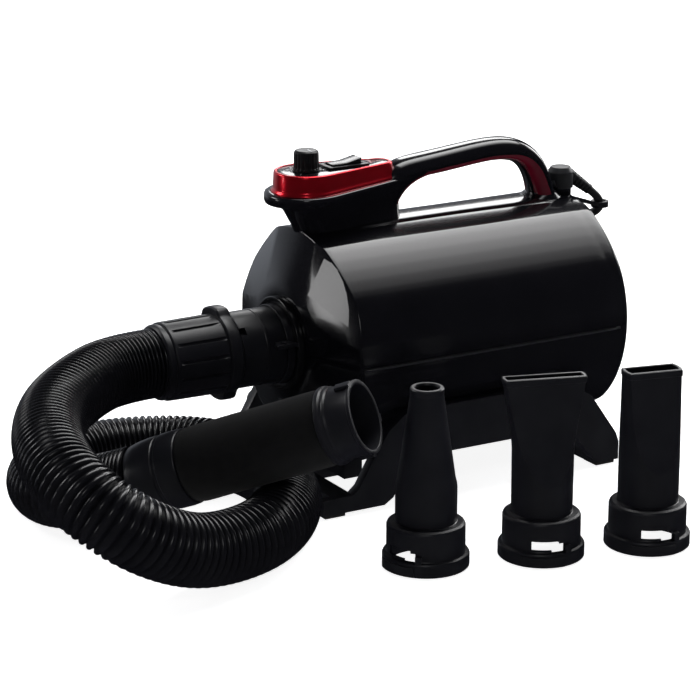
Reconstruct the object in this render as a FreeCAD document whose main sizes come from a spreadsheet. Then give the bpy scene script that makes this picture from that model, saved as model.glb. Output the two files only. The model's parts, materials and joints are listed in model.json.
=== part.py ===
import FreeCAD, Part
import Sketcher
import math
import os

# Pet dryer: a single-motor floor dryer with a twist-on hose, a foam hand grip
# and three loose nozzles.  Own frame: +X runs from the outlet to the intake,
# the operator's side is -Y, +Z is up and z = 0 is the floor.

V = FreeCAD.Vector
doc = FreeCAD.newDocument("PetDryer")
sheet = doc.addObject("Spreadsheet::Sheet", "Dims")

DIMS = [
    ("shift_along", 0.2, "moves the whole set so that its box is centred, along X"),
    ("shift_across", 95.5, "the same, along Y"),
    ("axis_height", 113.0, "height of the motor and outlet axis"),
    ("case_wall", 3.0, "moulded wall of the casing"),
    ("case_front", 98.0, "front face of the casing, ahead of the datum"),
    ("case_length", 266.0, "casing, front face to rear face"),
    ("seam_gap", 0.5, "parting gap between the two casing halves"),
    ("hose_rad", 27.0, "outside radius of the hose over its ribs"),
    ("hose_bore", 22.0, "inside radius of the hose"),
    ("outlet_rad", 30.0, "outside radius of the outlet collar"),
    ("outlet_bore", 25.0, "bore radius of the outlet collar"),
    ("outlet_long", 37.0, "length of the outlet collar"),
    ("spigot_rad", 24.9, "radius of the hose cuff's spigot in the collar"),
    ("cuff_rad", 30.5, "outside radius of the ribbed cuff"),
    ("cuff_long", 45.0, "length of the ribbed cuff"),
    ("lobe_rad", 36.5, "radius of the cuff's lobed ring"),
    ("ring_thick", 11.0, "thickness of the lobed ring"),
    ("nozzle_flange", 32.0, "radius of a nozzle's bayonet flange"),
    ("nozzle_collar", 29.0, "radius of a nozzle's upper ring"),
    ("nozzle_socket", 27.1, "bore radius of a nozzle's socket"),
    ("nozzle_neck", 23.3, "radius of a nozzle's neck"),
    ("nozzle_tall", 135.0, "height of a nozzle standing on its flange"),
    ("grip_rad", 28.5, "outside radius of the foam grip"),
    ("knob_rad", 10.5, "radius of the speed knob"),
    ("knob_tall", 15.0, "height of the speed knob"),
    ("stem_rad", 3.0, "radius of the knob's stem"),
    ("console_floor", 222.0, "height of the underside of the console"),
    ("console_top", 248.5, "height of the top plate"),
    ("handle_half", 15.0, "half width of the handle"),
    ("handle_thick", 9.0, "half thickness of the handle"),
    ("base_half", 100.0, "half width of the base over its rails"),
    ("rail_thick", 9.0, "thickness of a side rail"),
    ("pad_thick", 3.0, "thickness of a rubber foot"),
    ("can_rad", 52.0, "outside radius of the motor can"),
    ("stator_in", 30.2, "inside radius of the stator"),
    ("rotor_rad", 29.5, "radius of the rotor"),
    ("shaft_rad", 4.0, "radius of the motor shaft"),
    ("bearing_rad", 11.0, "outside radius of a bearing"),
    ("fan_rad", 66.0, "radius of the impeller"),
    ("shroud_rad", 72.0, "outside radius of the fan shroud"),
    ("cover_rad", 58.0, "outside radius of the intake cover"),
    ("cover_in", 54.08, "inside radius of the intake cover"),
    ("intake_rad", 54.0, "outside radius of the intake spigot"),
    ("cable_rad", 3.5, "radius of the mains cable"),
    ("coil_mean", 42.0, "mean radius of the coiled cable"),
    ("coil_tall", 21.0, "height of the coiled cable"),
    ("screw_head", 3.2, "radius of a screw head"),
    ("screw_shank", 1.6, "radius of a screw shank"),
]
VAL = {}
row = 1
for alias, value, note in DIMS:
    sheet.set("A%d" % row, alias)
    sheet.set("B%d" % row, repr(float(value)))
    sheet.set("C%d" % row, note)
    sheet.setAlias("B%d" % row, alias)
    VAL[alias] = float(value)
    row += 1
doc.recompute()


class Q:
    """A sheet value that carries its own expression text."""

    def __init__(self, text, value):
        self.text = text
        self.value = float(value)

    @staticmethod
    def lift(other):
        if isinstance(other, Q):
            return other
        return Q(repr(float(other)), other)

    def __add__(self, other):
        o = Q.lift(other)
        return Q("(%s + %s)" % (self.text, o.text), self.value + o.value)

    __radd__ = __add__

    def __sub__(self, other):
        o = Q.lift(other)
        return Q("(%s - %s)" % (self.text, o.text), self.value - o.value)

    def __rsub__(self, other):
        o = Q.lift(other)
        return Q("(%s - %s)" % (o.text, self.text), o.value - self.value)

    def __mul__(self, other):
        o = Q.lift(other)
        return Q("(%s * %s)" % (self.text, o.text), self.value * o.value)

    __rmul__ = __mul__


def dim(alias):
    return Q("Dims." + alias, VAL[alias])


def num(q):
    return q.value if isinstance(q, Q) else float(q)


def bind(obj, prop, q):
    setattr(obj, prop, num(q))
    if isinstance(q, Q):
        obj.setExpression(prop, q.text)


DX, DY, AX = dim("shift_along"), dim("shift_across"), dim("axis_height")
ALONG = FreeCAD.Rotation(V(0, 0, 1), V(1, 0, 0))       # local Z becomes +X
UPRIGHT = FreeCAD.Rotation()
PLANE_YZ = FreeCAD.Rotation(0.5, 0.5, 0.5, 0.5)        # sketch X, Y become Y, Z
PLANE_XZ = FreeCAD.Rotation(V(1, 0, 0), 90)            # sketch X, Y become X, Z


def place(obj, x, y, z, rot=UPRIGHT):
    """Datum coordinates of the casing, shifted to the frame of the set."""
    px, py, pz = DX + x, DY + y, z
    obj.Placement = FreeCAD.Placement(V(num(px), num(py), num(pz)), rot)
    obj.setExpression("Placement.Base.x", px.text)
    obj.setExpression("Placement.Base.y", py.text)
    if isinstance(pz, Q):
        obj.setExpression("Placement.Base.z", pz.text)
    return obj


def world(x, y, z):
    return V(num(DX + x), num(DY + y), num(z))


def label(obj, name):
    obj.Label = name
    return obj


def cylinder(name, rad, tall, x, y, z, rot=UPRIGHT):
    o = doc.addObject("Part::Cylinder", name)
    bind(o, "Radius", rad)
    bind(o, "Height", tall)
    return place(o, x, y, z, rot)


def block(name, lx, ly, lz, x, y, z, rot=UPRIGHT):
    o = doc.addObject("Part::Box", name)
    bind(o, "Length", lx)
    bind(o, "Width", ly)
    bind(o, "Height", lz)
    return place(o, x, y, z, rot)


def cone(name, r1, r2, tall, x, y, z, rot=UPRIGHT):
    o = doc.addObject("Part::Cone", name)
    bind(o, "Radius1", r1)
    bind(o, "Radius2", r2)
    bind(o, "Height", tall)
    return place(o, x, y, z, rot)


def fuse(name, items):
    o = doc.addObject("Part::MultiFuse", name)
    o.Shapes = items
    o.Refine = True
    return o


def gather(name, items):
    o = doc.addObject("Part::Compound", name)
    o.Links = items
    return o


def cut(name, base, tools):
    if not isinstance(tools, (list, tuple)):
        tools = [tools]
    tool = tools[0] if len(tools) == 1 else fuse(name + "_tools", list(tools))
    o = doc.addObject("Part::Cut", name)
    o.Base = base
    o.Tool = tool
    o.Refine = True
    return o


def common(name, a, b):
    o = doc.addObject("Part::Common", name)
    o.Base = a
    o.Tool = b
    return o


def origin_plane(body, role):
    for f in body.Origin.OriginFeatures:
        if f.Role == role:
            return f
    raise RuntimeError(role)


def polygon_into(sk, pts):
    """A closed polygon whose every corner is held by driving dimensions."""
    n = len(pts)
    xy = [(num(a), num(b)) for a, b in pts]
    for i in range(n):
        a, b = xy[i], xy[(i + 1) % n]
        sk.addGeometry(Part.LineSegment(V(a[0], a[1], 0), V(b[0], b[1], 0)), False)
    for i in range(n):
        sk.addConstraint(Sketcher.Constraint("Coincident", i, 2, (i + 1) % n, 1))
    for i in range(n):
        for axis, kind in ((0, "DistanceX"), (1, "DistanceY")):
            q = pts[i][axis]
            if abs(num(q)) < 1e-9:
                sk.addConstraint(Sketcher.Constraint("PointOnObject", i, 1, -2 if axis == 0 else -1))
            else:
                k = sk.addConstraint(Sketcher.Constraint(kind, -1, 1, i, 1, num(q)))
                if isinstance(q, Q):
                    sk.setExpression("Constraints[%d]" % k, q.text)


def turned(name, pts, x, y, z, rot=UPRIGHT):
    """A body of revolution; pts are (radius, distance along the axis), all >= 0."""
    body = doc.addObject("PartDesign::Body", name)
    sk = body.newObject("Sketcher::SketchObject", name + "_profile")
    sk.AttachmentSupport = [(origin_plane(body, "XZ_Plane"), "")]
    sk.MapMode = "FlatFace"
    polygon_into(sk, pts)
    rev = body.newObject("PartDesign::Revolution", name + "_turn")
    rev.Profile = sk
    rev.ReferenceAxis = (sk, ["V_Axis"])
    rev.Angle = 360.0
    body.Tip = rev
    place(body, x, y, z, rot)
    return body


def ring(name, ro, ri, tall, x, y, z, rot=UPRIGHT):
    return turned(name, [(ri, 0), (ro, 0), (ro, tall), (ri, tall)], x, y, z, rot)


def drop_outline(sk, front, rear, reach):
    """Teardrop: a big arc about the sketch origin and a small one `reach` away,
    joined by their outer tangents."""
    rf, rr, d = num(front), num(rear), num(reach)
    a = math.acos((rf - rr) / d)
    fx, fy = rf * math.cos(a), rf * math.sin(a)
    gx, gy = d + rr * math.cos(a), rr * math.sin(a)
    sk.addGeometry(Part.Arc(V(fx, fy, 0), V(-rf, 0, 0), V(fx, -fy, 0)), False)
    sk.addGeometry(Part.LineSegment(V(fx, -fy, 0), V(gx, -gy, 0)), False)
    sk.addGeometry(Part.Arc(V(gx, -gy, 0), V(d + rr, 0, 0), V(gx, gy, 0)), False)
    sk.addGeometry(Part.LineSegment(V(gx, gy, 0), V(fx, fy, 0)), False)


def drop(name, front, rear, reach, tall, x, y, z):
    body = doc.addObject("PartDesign::Body", name)
    sk = body.newObject("Sketcher::SketchObject", name + "_outline")
    sk.AttachmentSupport = [(origin_plane(body, "XY_Plane"), "")]
    sk.MapMode = "FlatFace"
    drop_outline(sk, front, rear, reach)
    pad = body.newObject("PartDesign::Pad", name + "_pad")
    pad.Profile = sk
    bind(pad, "Length", tall)
    body.Tip = pad
    place(body, x, y, z)
    return body


def plate(name, pts, thick, x, y, z, rot):
    """A pad of a free polygon, `thick` deep along the sketch normal."""
    body = doc.addObject("PartDesign::Body", name)
    sk = body.newObject("Sketcher::SketchObject", name + "_outline")
    sk.AttachmentSupport = [(origin_plane(body, "XY_Plane"), "")]
    sk.MapMode = "FlatFace"
    polygon_into(sk, pts)
    pad = body.newObject("PartDesign::Pad", name + "_pad")
    pad.Profile = sk
    bind(pad, "Length", thick)
    body.Tip = pad
    place(body, x, y, z, rot)
    return body


def feature(name, shape):
    o = doc.addObject("Part::Feature", name)
    o.Shape = shape
    return o


# ------------------------------------------------------------------ tubes
def route_wire(pts, frac=0.45):
    """Straight runs joined by tangent arcs, each arc as large as its runs allow."""
    P = [V(*p) for p in pts]
    edges = []
    radii = []
    length = 0.0
    last = P[0]
    for i in range(1, len(P) - 1):
        a = P[i - 1] - P[i]
        b = P[i + 1] - P[i]
        la, lb = a.Length, b.Length
        a.normalize()
        b.normalize()
        turn = math.pi - a.getAngle(b)
        t = frac * min(la, lb)
        rad = t / math.tan(turn / 2)
        s = P[i] + a * t
        e = P[i] + b * t
        bis = a + b
        bis.normalize()
        centre = P[i] + bis * (rad / math.cos(turn / 2))
        mid = centre - bis * rad
        edges.append(Part.LineSegment(last, s).toShape())
        edges.append(Part.Arc(s, mid, e).toShape())
        length += (s - last).Length + rad * turn
        radii.append(round(rad, 1))
        last = e
    edges.append(Part.LineSegment(last, P[-1]).toShape())
    length += (P[-1] - last).Length
    return Part.Wire(edges), radii, length


def swept(wire, rad):
    first = wire.Edges[0]
    start = first.valueAt(first.FirstParameter)
    tang = first.tangentAt(first.FirstParameter)
    circle = Part.Wire([Part.Circle(start, tang, rad).toShape()])
    return wire.makePipeShell([circle], True, True)


def tube(name, pts, rad, bore=0.0):
    wire, radii, length = route_wire([tuple(world(*p)) for p in pts])
    solid = swept(wire, rad)
    area = math.pi * rad * rad
    if bore:
        solid = solid.cut(swept(wire, bore))
        area -= math.pi * bore * bore
    print(name, "radii", radii, "length", round(length, 1),
          "volume ratio", round(solid.Volume / (area * length), 4))
    return feature(name, solid)


# ------------------------------------------------------------------ fasteners
def screw(name, x, y, z, long, rot=UPRIGHT):
    """Pan-head screw; local +Z is the way it is driven, z = 0 is its head."""
    return turned(name, [(0, 0), (dim("screw_head"), 0), (dim("screw_head"), 1.8), (dim("screw_shank"), 1.8),
                         (dim("screw_shank"), long), (0, long)], x, y, z, rot)


BASE_SCREWS = ((-66, -20), (-66, 20), (120, -20), (120, 20))
base_screws = gather("base_screws", [
    screw("base_screw%d" % i, x, y, 10.2, 22) for i, (x, y) in enumerate(BASE_SCREWS)])
inlet_screws = gather("intake_screws", [
    screw("intake_screw%d" % i, 159.2, 59 * math.sin(math.radians(a)), AX + 59 * math.cos(math.radians(a)), 9, ALONG)
    for i, a in enumerate((45, 135, 225, 315))])

# ------------------------------------------------------------------ casing
def section_sketch(name, k, x):
    """Casing section, k times its full size about the axis: a crowned top,
    two flat upper facets and rounded sides and bottom."""
    h = num(AX)
    f = lambda y, z: V(y * k, h + (z - 113.0) * k, 0)
    sk = doc.addObject("Sketcher::SketchObject", name)
    segs = [
        Part.Arc(f(-38, 195.5), f(0, 202.5), f(38, 195.5)),
        Part.LineSegment(f(38, 195.5), f(80, 162)),
        Part.Arc(f(80, 162), f(92.5, 139), f(96, 113)),
        Part.Arc(f(96, 113), f(89, 75), f(66, 44)),
        Part.Arc(f(66, 44), f(0, 26), f(-66, 44)),
        Part.Arc(f(-66, 44), f(-89, 75), f(-96, 113)),
        Part.Arc(f(-96, 113), f(-92.5, 139), f(-80, 162)),
        Part.LineSegment(f(-80, 162), f(-38, 195.5)),
    ]
    for s in segs:
        sk.addGeometry(s, False)
    place(sk, x, 0, 0, PLANE_YZ)
    return sk


def extrude_along(name, sk, long):
    o = doc.addObject("Part::Extrusion", name)
    o.Base = sk
    o.DirMode = "Custom"
    o.Dir = V(1, 0, 0)
    o.Solid = True
    bind(o, "LengthFwd", long)
    return o


front = dim("case_front")
clen = dim("case_length")
wall = dim("case_wall")

outer_run = extrude_along("case_outer_run", section_sketch("case_section", 1.0, -100), clen + 6)
outer_env = turned("case_outer_turn", [
    (0, 0), (42, 0), (97, 15), (99, 17), (99, clen - 14), (97.8, clen - 8), (94.6, clen - 3.6),
    (90, clen - 1), (85, clen), (0, clen)], 0 - front, 0, AX, ALONG)
case_solid = common("case_solid", outer_run, outer_env)
inner_run = extrude_along("case_inner_run", section_sketch("case_bore_section", 0.966, -100), clen + 6)
inner_env = turned("case_inner_turn", [
    (0, 0), (40, 0), (94, 15), (95, 17), (95, clen - 26), (90, clen - 11), (82, clen - 6), (0, clen - 6)],
    3.0 - front, 0, AX, ALONG)
case_void = common("case_void", inner_run, inner_env)
case_shell = cut("case_shell", case_solid, [
    case_void,
    cylinder("case_outlet_hole", 31.6, 40, -112, 0, AX, ALONG),
    cylinder("case_intake_hole", 54.1, 30, 150, 0, AX, ALONG), base_screws, inlet_screws])
half = dim("seam_gap") * 0.5
upper_box = block("case_upper_half", 400, 300, 150, -200, -150, AX + half)
lower_box = block("case_lower_half", 400, 300, 150, -200, -150, AX - half - 150)
upper_housing = common("upper_housing", case_shell, upper_box)
lower_housing = common("lower_housing", case_shell, lower_box)

# ------------------------------------------------------------------ outlet
front_trim = ring("front_trim_ring", 37, 31.7, 6, -104, 0, AX, ALONG)
outlet_horn = turned("outlet_horn", [
    (dim("outlet_bore"), 0), (31.5, 0), (31.5, 15), (38, 15), (38, 19), (31.5, 19), (31.5, 26),
    (dim("outlet_bore"), 26)], -110, 0, AX, ALONG)
collar_tube = turned("outlet_collar_tube", [
    (dim("outlet_bore"), 0), (dim("outlet_rad"), 0), (dim("outlet_rad"), dim("outlet_long")),
    (dim("outlet_bore"), dim("outlet_long"))], Q.lift(-110) - dim("outlet_long"), 0, AX, ALONG)
collar_slot = block("outlet_collar_slot", 7, 20, 5, -147.5, -29, AX + 18)
outlet_collar = cut("outlet_collar", collar_tube, collar_slot)
tab = plate("latch_tab_blank", [(0, 0), (19, 0), (14, 11), (4, 11)], 3, -124, -39, AX + 7.5, UPRIGHT)
latch_tab = cut("latch_tab", tab, [
    cylinder("latch_tab_hole", 2.4, 8, -115, -34.6, AX + 5),
    cylinder("latch_tab_seat", 30.02, 40, -135, 0, AX, ALONG),
    cylinder("latch_tab_relief", 31.55, 20, -110.05, 0, AX, ALONG)])
outlet_seal = ring("outlet_seal", 24.9, 22.4, 3, -124, 0, AX, ALONG)

# ------------------------------------------------------------------ hose cuff
cuff_x0 = Q.lift(-148) - dim("ring_thick") - dim("cuff_long")
cuff_turn = turned("hose_cuff_turn", [
    (dim("hose_bore"), 0), (dim("cuff_rad") - 0.8, 0), (dim("cuff_rad"), 2),
    (dim("cuff_rad"), dim("cuff_long")),
    (dim("lobe_rad") - 3, dim("cuff_long")), (dim("lobe_rad") - 3, dim("cuff_long") + dim("ring_thick")),
    (dim("spigot_rad"), dim("cuff_long") + dim("ring_thick")),
    (dim("spigot_rad"), dim("cuff_long") + dim("ring_thick") + 20),
    (dim("hose_bore"), dim("cuff_long") + dim("ring_thick") + 20)], cuff_x0, 0, AX, ALONG)
lobes = []
for i, ang in enumerate((60, 180, 300)):
    a = math.radians(ang)
    lobes.append(cylinder("hose_cuff_lobe%d" % i, 14, dim("ring_thick"),
                          Q.lift(-148) - dim("ring_thick"), 22.4 * math.sin(a), AX + 22.4 * math.cos(a), ALONG))
lobe_bore = cylinder("hose_cuff_lobe_bore", dim("lobe_rad") - 4, dim("ring_thick") + 2,
                     Q.lift(-149) - dim("ring_thick"), 0, AX, ALONG)
lobes_cut = cut("hose_cuff_lobes", fuse("hose_cuff_lobe_set", lobes), lobe_bore)
flutes = []
for i in range(12):
    a = math.radians(15 + 30 * i)
    flutes.append(cylinder("hose_cuff_flute%d" % i, 1.1, dim("cuff_long") - 7, cuff_x0 + 5,
                           30.9 * math.sin(a), AX + 30.9 * math.cos(a), ALONG))
hose_cuff = cut("hose_cuff", fuse("hose_cuff_full", [cuff_turn, lobes_cut]), flutes)
hose_end_ring = ring("hose_end_ring", 29.4, dim("hose_bore"), 6, cuff_x0 - 6, 0, AX, ALONG)

# ------------------------------------------------------------------ hose
TAIL = (-252.7, -61.3, 45.0)
AXIS = (0.6269, -0.6920, 0.3580)
HOSE = [(-210, 0, 113), (-245, 0, 113), (-281, -20, 110), (-317, -52, 106), (-342, -97, 101),
        (-353, -140, 95), (-351, -172, 85), (-334, -194, 69), (-306, -197, 50), (-272, -189, 34),
        (-237, -178, 27.6), (-201, -164, 27.3), (-168, -133, 27.3), (-144, -88, 27.3), (-136, -42, 27.3),
        (-144, -1, 27.3), (-164, 28, 27.3), (-192, 46, 27.3), (-225, 55, 27.3), (-254, 54, 27.3),
        (-279, 44, 27.3), (-297, 24, 27.3), (-303, -2, 27.6), (-293, -25, 29.5),
        (TAIL[0] - AXIS[0] * 21, TAIL[1] - AXIS[1] * 21, TAIL[2] - AXIS[2] * 21), TAIL]
hose_tube = tube("hose_tube", HOSE, num(dim("hose_rad")), num(dim("hose_bore")))

# ------------------------------------------------------------------ grip
GRIP = FreeCAD.Rotation(V(0, 0, 1), V(*AXIS))


def on_grip(t):
    return tuple(TAIL[i] + AXIS[i] * t for i in range(3))


def grip_ring(name, pts, t):
    return turned(name, pts, *on_grip(t), GRIP)


gr = dim("grip_rad")
bore = dim("hose_bore")
grip_tail = grip_ring("grip_tail_cuff", [
    (bore, 0), (27.6, 0), (gr + 0.6, 7), (gr + 0.6, 26), (gr - 0.4, 26), (gr - 0.4, 44), (bore, 44)], 0)
grip_core = grip_ring("grip_core_tube", [(bore, 0), (24.0, 0), (24.0, 98), (bore, 98)], 44)
grip_sleeve = grip_ring("grip_foam_sleeve", [
    (24.0, 0), (gr, 0), (gr, 98), (24.0, 98)], 44)
grip_mouth = grip_ring("grip_mouth_ring", [
    (bore, 0), (gr + 0.8, 0), (gr + 0.8, 7), (gr - 1.5, 9), (gr - 1.5, 46), (24.4, 46), (24.4, 20), (bore, 20)], 142)

# ------------------------------------------------------------------ nozzles
NOZZLES = ((-97.0, -214.0), (-13.0, -239.0), (68.0, -259.0))
nf, nc, ns, nn, nt = (dim("nozzle_flange"), dim("nozzle_collar"), dim("nozzle_socket"),
                      dim("nozzle_neck"), dim("nozzle_tall"))


def bayonet_notches(name, x, y):
    out = []
    for k, sx in enumerate((-1, 1)):
        out.append(block(name + "_notch%d" % k, 18, 9, 7, x - 9, y - 33.5 if sx < 0 else y + 24.5, 12.5))
    return out


n1x, n1y = NOZZLES[0]
cone_nozzle_turn = turned("nozzle_cone_turn", [
    (ns, 0), (nf, 0), (nf, 12), (nc, 12), (nc, 30), (nn, 30), (nn, 56), (11.5, nt), (7.8, nt),
    (19.6, 54), (19.6, 24), (ns, 24)], n1x, n1y, 0)
nozzle_cone = cut("nozzle_cone", cone_nozzle_turn, bayonet_notches("nozzle_cone", n1x, n1y))


def oval_wire(cx, cy, z, a, b, p, ang):
    """Closed smooth superellipse, a by b, in a level plane."""
    pts = []
    n = 24
    for i in range(n):
        th = 2 * math.pi * i / n
        c, s = math.cos(th), math.sin(th)
        x = a * math.copysign(abs(c) ** (2.0 / p), c)
        y = b * math.copysign(abs(s) ** (2.0 / p), s)
        ca, sa = math.cos(ang), math.sin(ang)
        pts.append(world(cx + x * ca - y * sa, cy + x * sa + y * ca, z))
    sp = Part.BSplineCurve()
    sp.interpolate(pts, PeriodicFlag=True)
    return Part.Wire([sp.toShape()])


def lofted(cx, cy, stations, ang):
    wires = [oval_wire(cx, cy, z, a, b, p, ang) for z, a, b, p in stations]
    return Part.makeLoft(wires, True, False)


def flat_nozzle(name, cx, cy, stations, inner, ang):
    base = turned(name + "_base", [
        (0, 0), (nf, 0), (nf, 12), (nc, 12), (nc, 30), (nn, 30), (nn, 40), (0, 40)], cx, cy, 0)
    skin = feature(name + "_skin", lofted(cx, cy, stations, ang))
    void = feature(name + "_void", lofted(cx, cy, inner, ang))
    socket = turned(name + "_socket", [
        (0, 0), (ns, 0), (ns, 24), (19.6, 24), (19.6, 38), (0, 38)], cx, cy, 0)
    whole = fuse(name + "_whole", [base, skin])
    return cut(name, whole, [void, socket] + bayonet_notches(name, cx, cy))


n2x, n2y = NOZZLES[1]
nozzle_fishtail = flat_nozzle("nozzle_fishtail", n2x, n2y,
    [(34, 22.9, 22.9, 2), (64, 23.2, 21.8, 2), (88, 25.5, 15.0, 2.4), (112, 28.6, 9.0, 3.0), (136.5, 31.0, 6.2, 3.6)],
    [(36, 19.2, 19.2, 2), (64, 19.8, 18.4, 2), (88, 22.4, 12.0, 2.4), (112, 25.8, 6.4, 3.0), (138.5, 28.6, 3.6, 3.6)],
    math.radians(-18))
n3x, n3y = NOZZLES[2]
nozzle_flat = flat_nozzle("nozzle_flat", n3x, n3y,
    [(34, 22.9, 22.9, 2), (60, 22.8, 20.6, 2.2), (90, 22.2, 15.0, 2.8), (135, 20.6, 8.6, 3.6)],
    [(36, 19.2, 19.2, 2), (60, 19.6, 17.4, 2.2), (90, 19.2, 12.0, 2.8), (137, 18.0, 6.0, 3.6)],
    math.radians(-13))

# ------------------------------------------------------------------ handle and console
hh, ht = num(dim("handle_half")), num(dim("handle_thick"))
HANDLE = [(-20, 0, 196), (-6, 0, 219), (10, 0, 238), (42, 0, 244), (96, 0, 247), (120, 0, 240), (134, 0, 220), (140, 0, 186)]
hw, hr, hl = route_wire([tuple(world(*p)) for p in HANDLE])
he = hw.Edges[0]
hs, hd = he.valueAt(he.FirstParameter), he.tangentAt(he.FirstParameter)
oval = Part.Ellipse(hs + V(0, hh, 0), hs + hd.cross(V(0, 1, 0)) * ht, hs)
handle_bar = feature("handle_bar", hw.makePipeShell([Part.Wire([oval.toShape()])], True, True))
print("handle radii", hr)
neck_column = drop("neck_column", 21, 13, 70, dim("console_floor") - 190, -76, 0, 190)
rear_root = cone("handle_rear_root", 21, 12, 24, 141, 0, 190)
handle_moulding = cut("handle_moulding", fuse("handle_full", [handle_bar, neck_column, rear_root]),
                      [case_solid, block("handle_trim", 400, 300, 100, -200, -150, 96),
                       drop("handle_rim_seat", 33.05, 16.05, 66, 14, -76, 0, dim("console_floor")),
                       drop("handle_bezel_seat", 25.6, 10.1, 65, 40, -76, 0, dim("console_floor"))])

# inner-face trim strip of the handle, a thin band under the bar
LINER = [(4, 0, 221), (17, 0, 228.2), (44, 0, 234.4), (93, 0, 237.2), (112, 0, 231.5), (122.5, 0, 215.5), (127, 0, 204)]
lw, lr, ll = route_wire([tuple(world(*p)) for p in LINER])
le = lw.Edges[0]
ls, ld = le.valueAt(le.FirstParameter), le.tangentAt(le.FirstParameter)
side = ld.cross(V(0, 1, 0))
corners = [ls + V(0, -8, 0) - side * 1.2, ls + V(0, 8, 0) - side * 1.2, ls + V(0, 8, 0) + side * 1.2,
           ls + V(0, -8, 0) + side * 1.2]
liner_blank = feature("handle_liner_blank", lw.makePipeShell([Part.makePolygon(corners + [corners[0]])], True, True))
handle_liner = cut("handle_liner", liner_blank, [
    handle_moulding, drop("liner_rim_seat", 33.05, 16.05, 66, 14, -76, 0, dim("console_floor"))])

cf = dim("console_floor")
ct = dim("console_top")
rim_outer = drop("console_rim_outer", 33, 16, 66, 14, -76, 0, cf)
rim_inner = drop("console_rim_inner", 28, 12, 66, 14, -76, 0, cf + 3)
console_rim = cut("console_rim", rim_outer, rim_inner)
bezel_lip = drop("console_bezel_lip", 27.8, 11.8, 66, 8, -76, 0, cf + 3)
bezel_wall = drop("console_bezel_wall", 25.5, 10, 65, ct - cf - 3, -76, 0, cf + 3)
bezel_void = drop("console_bezel_void", 22.6, 7.2, 65, 40, -76, 0, cf + 2)
console_bezel = cut("console_bezel", fuse("console_bezel_full", [bezel_lip, bezel_wall]), bezel_void)
plate_blank = drop("console_plate_blank", 22.5, 7.1, 65, 3.5, -76, 0, ct - 4)
console_plate = cut("console_plate", plate_blank, [
    cylinder("console_plate_hole", 3.4, 10, -76, 0, ct - 6),
    block("console_plate_window", 30, 16, 12, -58, -8, ct - 8)])

knob = turned("speed_knob", [
    (dim("stem_rad") + 0.01, 0), (dim("knob_rad"), 0), (dim("knob_rad") - 0.6, dim("knob_tall") - 2.5),
    (dim("knob_rad") - 3, dim("knob_tall")), (0, dim("knob_tall") + 0.8), (0, 11), (dim("stem_rad") + 0.01, 11)],
    -76, 0, ct)
knob_stem = cylinder("knob_stem", dim("stem_rad"), 20.5, -76, 0, ct - 10)
control_pot = turned("speed_control", [
    (0, 0), (9, 0), (9, 9), (5, 9), (5, 12), (dim("stem_rad") + 0.05, 12), (dim("stem_rad") + 0.05, 6), (0, 6)],
    -76, 0, ct - 16)
pin_turn = FreeCAD.Rotation(V(1, 0, 0), 90)
switch_frame = cut("switch_frame", fuse("switch_frame_full", [
    block("switch_flange", 35, 20, 1.8, -60.5, -10, ct - 0.5),
    block("switch_barrel", 30, 16, 17, -58, -8, ct - 17)]), [
    block("switch_well", 28, 14, 14.5, -57, -7, ct - 8.5),
    cylinder("switch_pivot_hole", 1.45, 16.4, -43.1, 8.2, ct - 3.4, pin_turn)])
rocker_body = fuse("rocker_switch", [plate("rocker_paddle", [
    (1, 4), (12.5, 0.8), (24, 4), (25.2, 12), (12.5, 9.2), (0, 8.8)], 13.2, -55.6, 6.6, ct - 6.4, PLANE_XZ),
    cylinder("rocker_pin", 1.4, 15.6, -43.1, 7.8, ct - 3.4, pin_turn)])

# ------------------------------------------------------------------ base
bh, rt, pt = dim("base_half"), dim("rail_thick"), dim("pad_thick")
PANEL = [(0, 3), (0, 15), (26, 16), (32, 21), (45, 43), (58, 62), (72, 73), (78, 75), (224, 75),
         (246, 60), (270, 26), (273, 18), (273, 3), (254, 3), (249, 6), (238, 20), (228, 33),
         (218, 37), (98, 37), (82, 33), (70, 22), (62, 8), (54, 3)]
near_panel = plate("base_panel_near", PANEL, rt, -118, rt - bh, 0, PLANE_XZ)
far_panel = plate("base_panel_far", PANEL, rt, -118, bh, 0, PLANE_XZ)
front_beam = block("base_front_beam", 18, 2 * num(bh) - 4, 12, -108, 2 - num(bh), 3)
rear_beam = block("base_rear_beam", 22, 2 * num(bh) - 4, 12, 130, 2 - num(bh), 3)
saddle_front = block("base_saddle_front", 16, 110, 40, -74, -55, 12)
saddle_rear = block("base_saddle_rear", 16, 110, 40, 112, -55, 12)
arm_front = block("base_arm_front", 44, 60, 9, -104, -30, 6)
arm_rear = block("base_arm_rear", 40, 60, 9, 106, -30, 6)
base_full = fuse("base_full", [near_panel, far_panel, front_beam, rear_beam, saddle_front, saddle_rear, arm_front, arm_rear])
access = [cylinder("base_access%d" % i, 3.4, 12, x, y, -1.8) for i, (x, y) in enumerate(BASE_SCREWS)]
base_cradle = cut("base_cradle", base_full, [case_solid, base_screws] + access)
pads = []
for i, (fx, fy) in enumerate(((-116, -99), (-116, 81), (134, -99), (134, 81))):
    pads.append(block("foot_pad%d" % i, 18, 18, pt, fx, fy, 0))
foot_pads = gather("foot_pads", pads)

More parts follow.
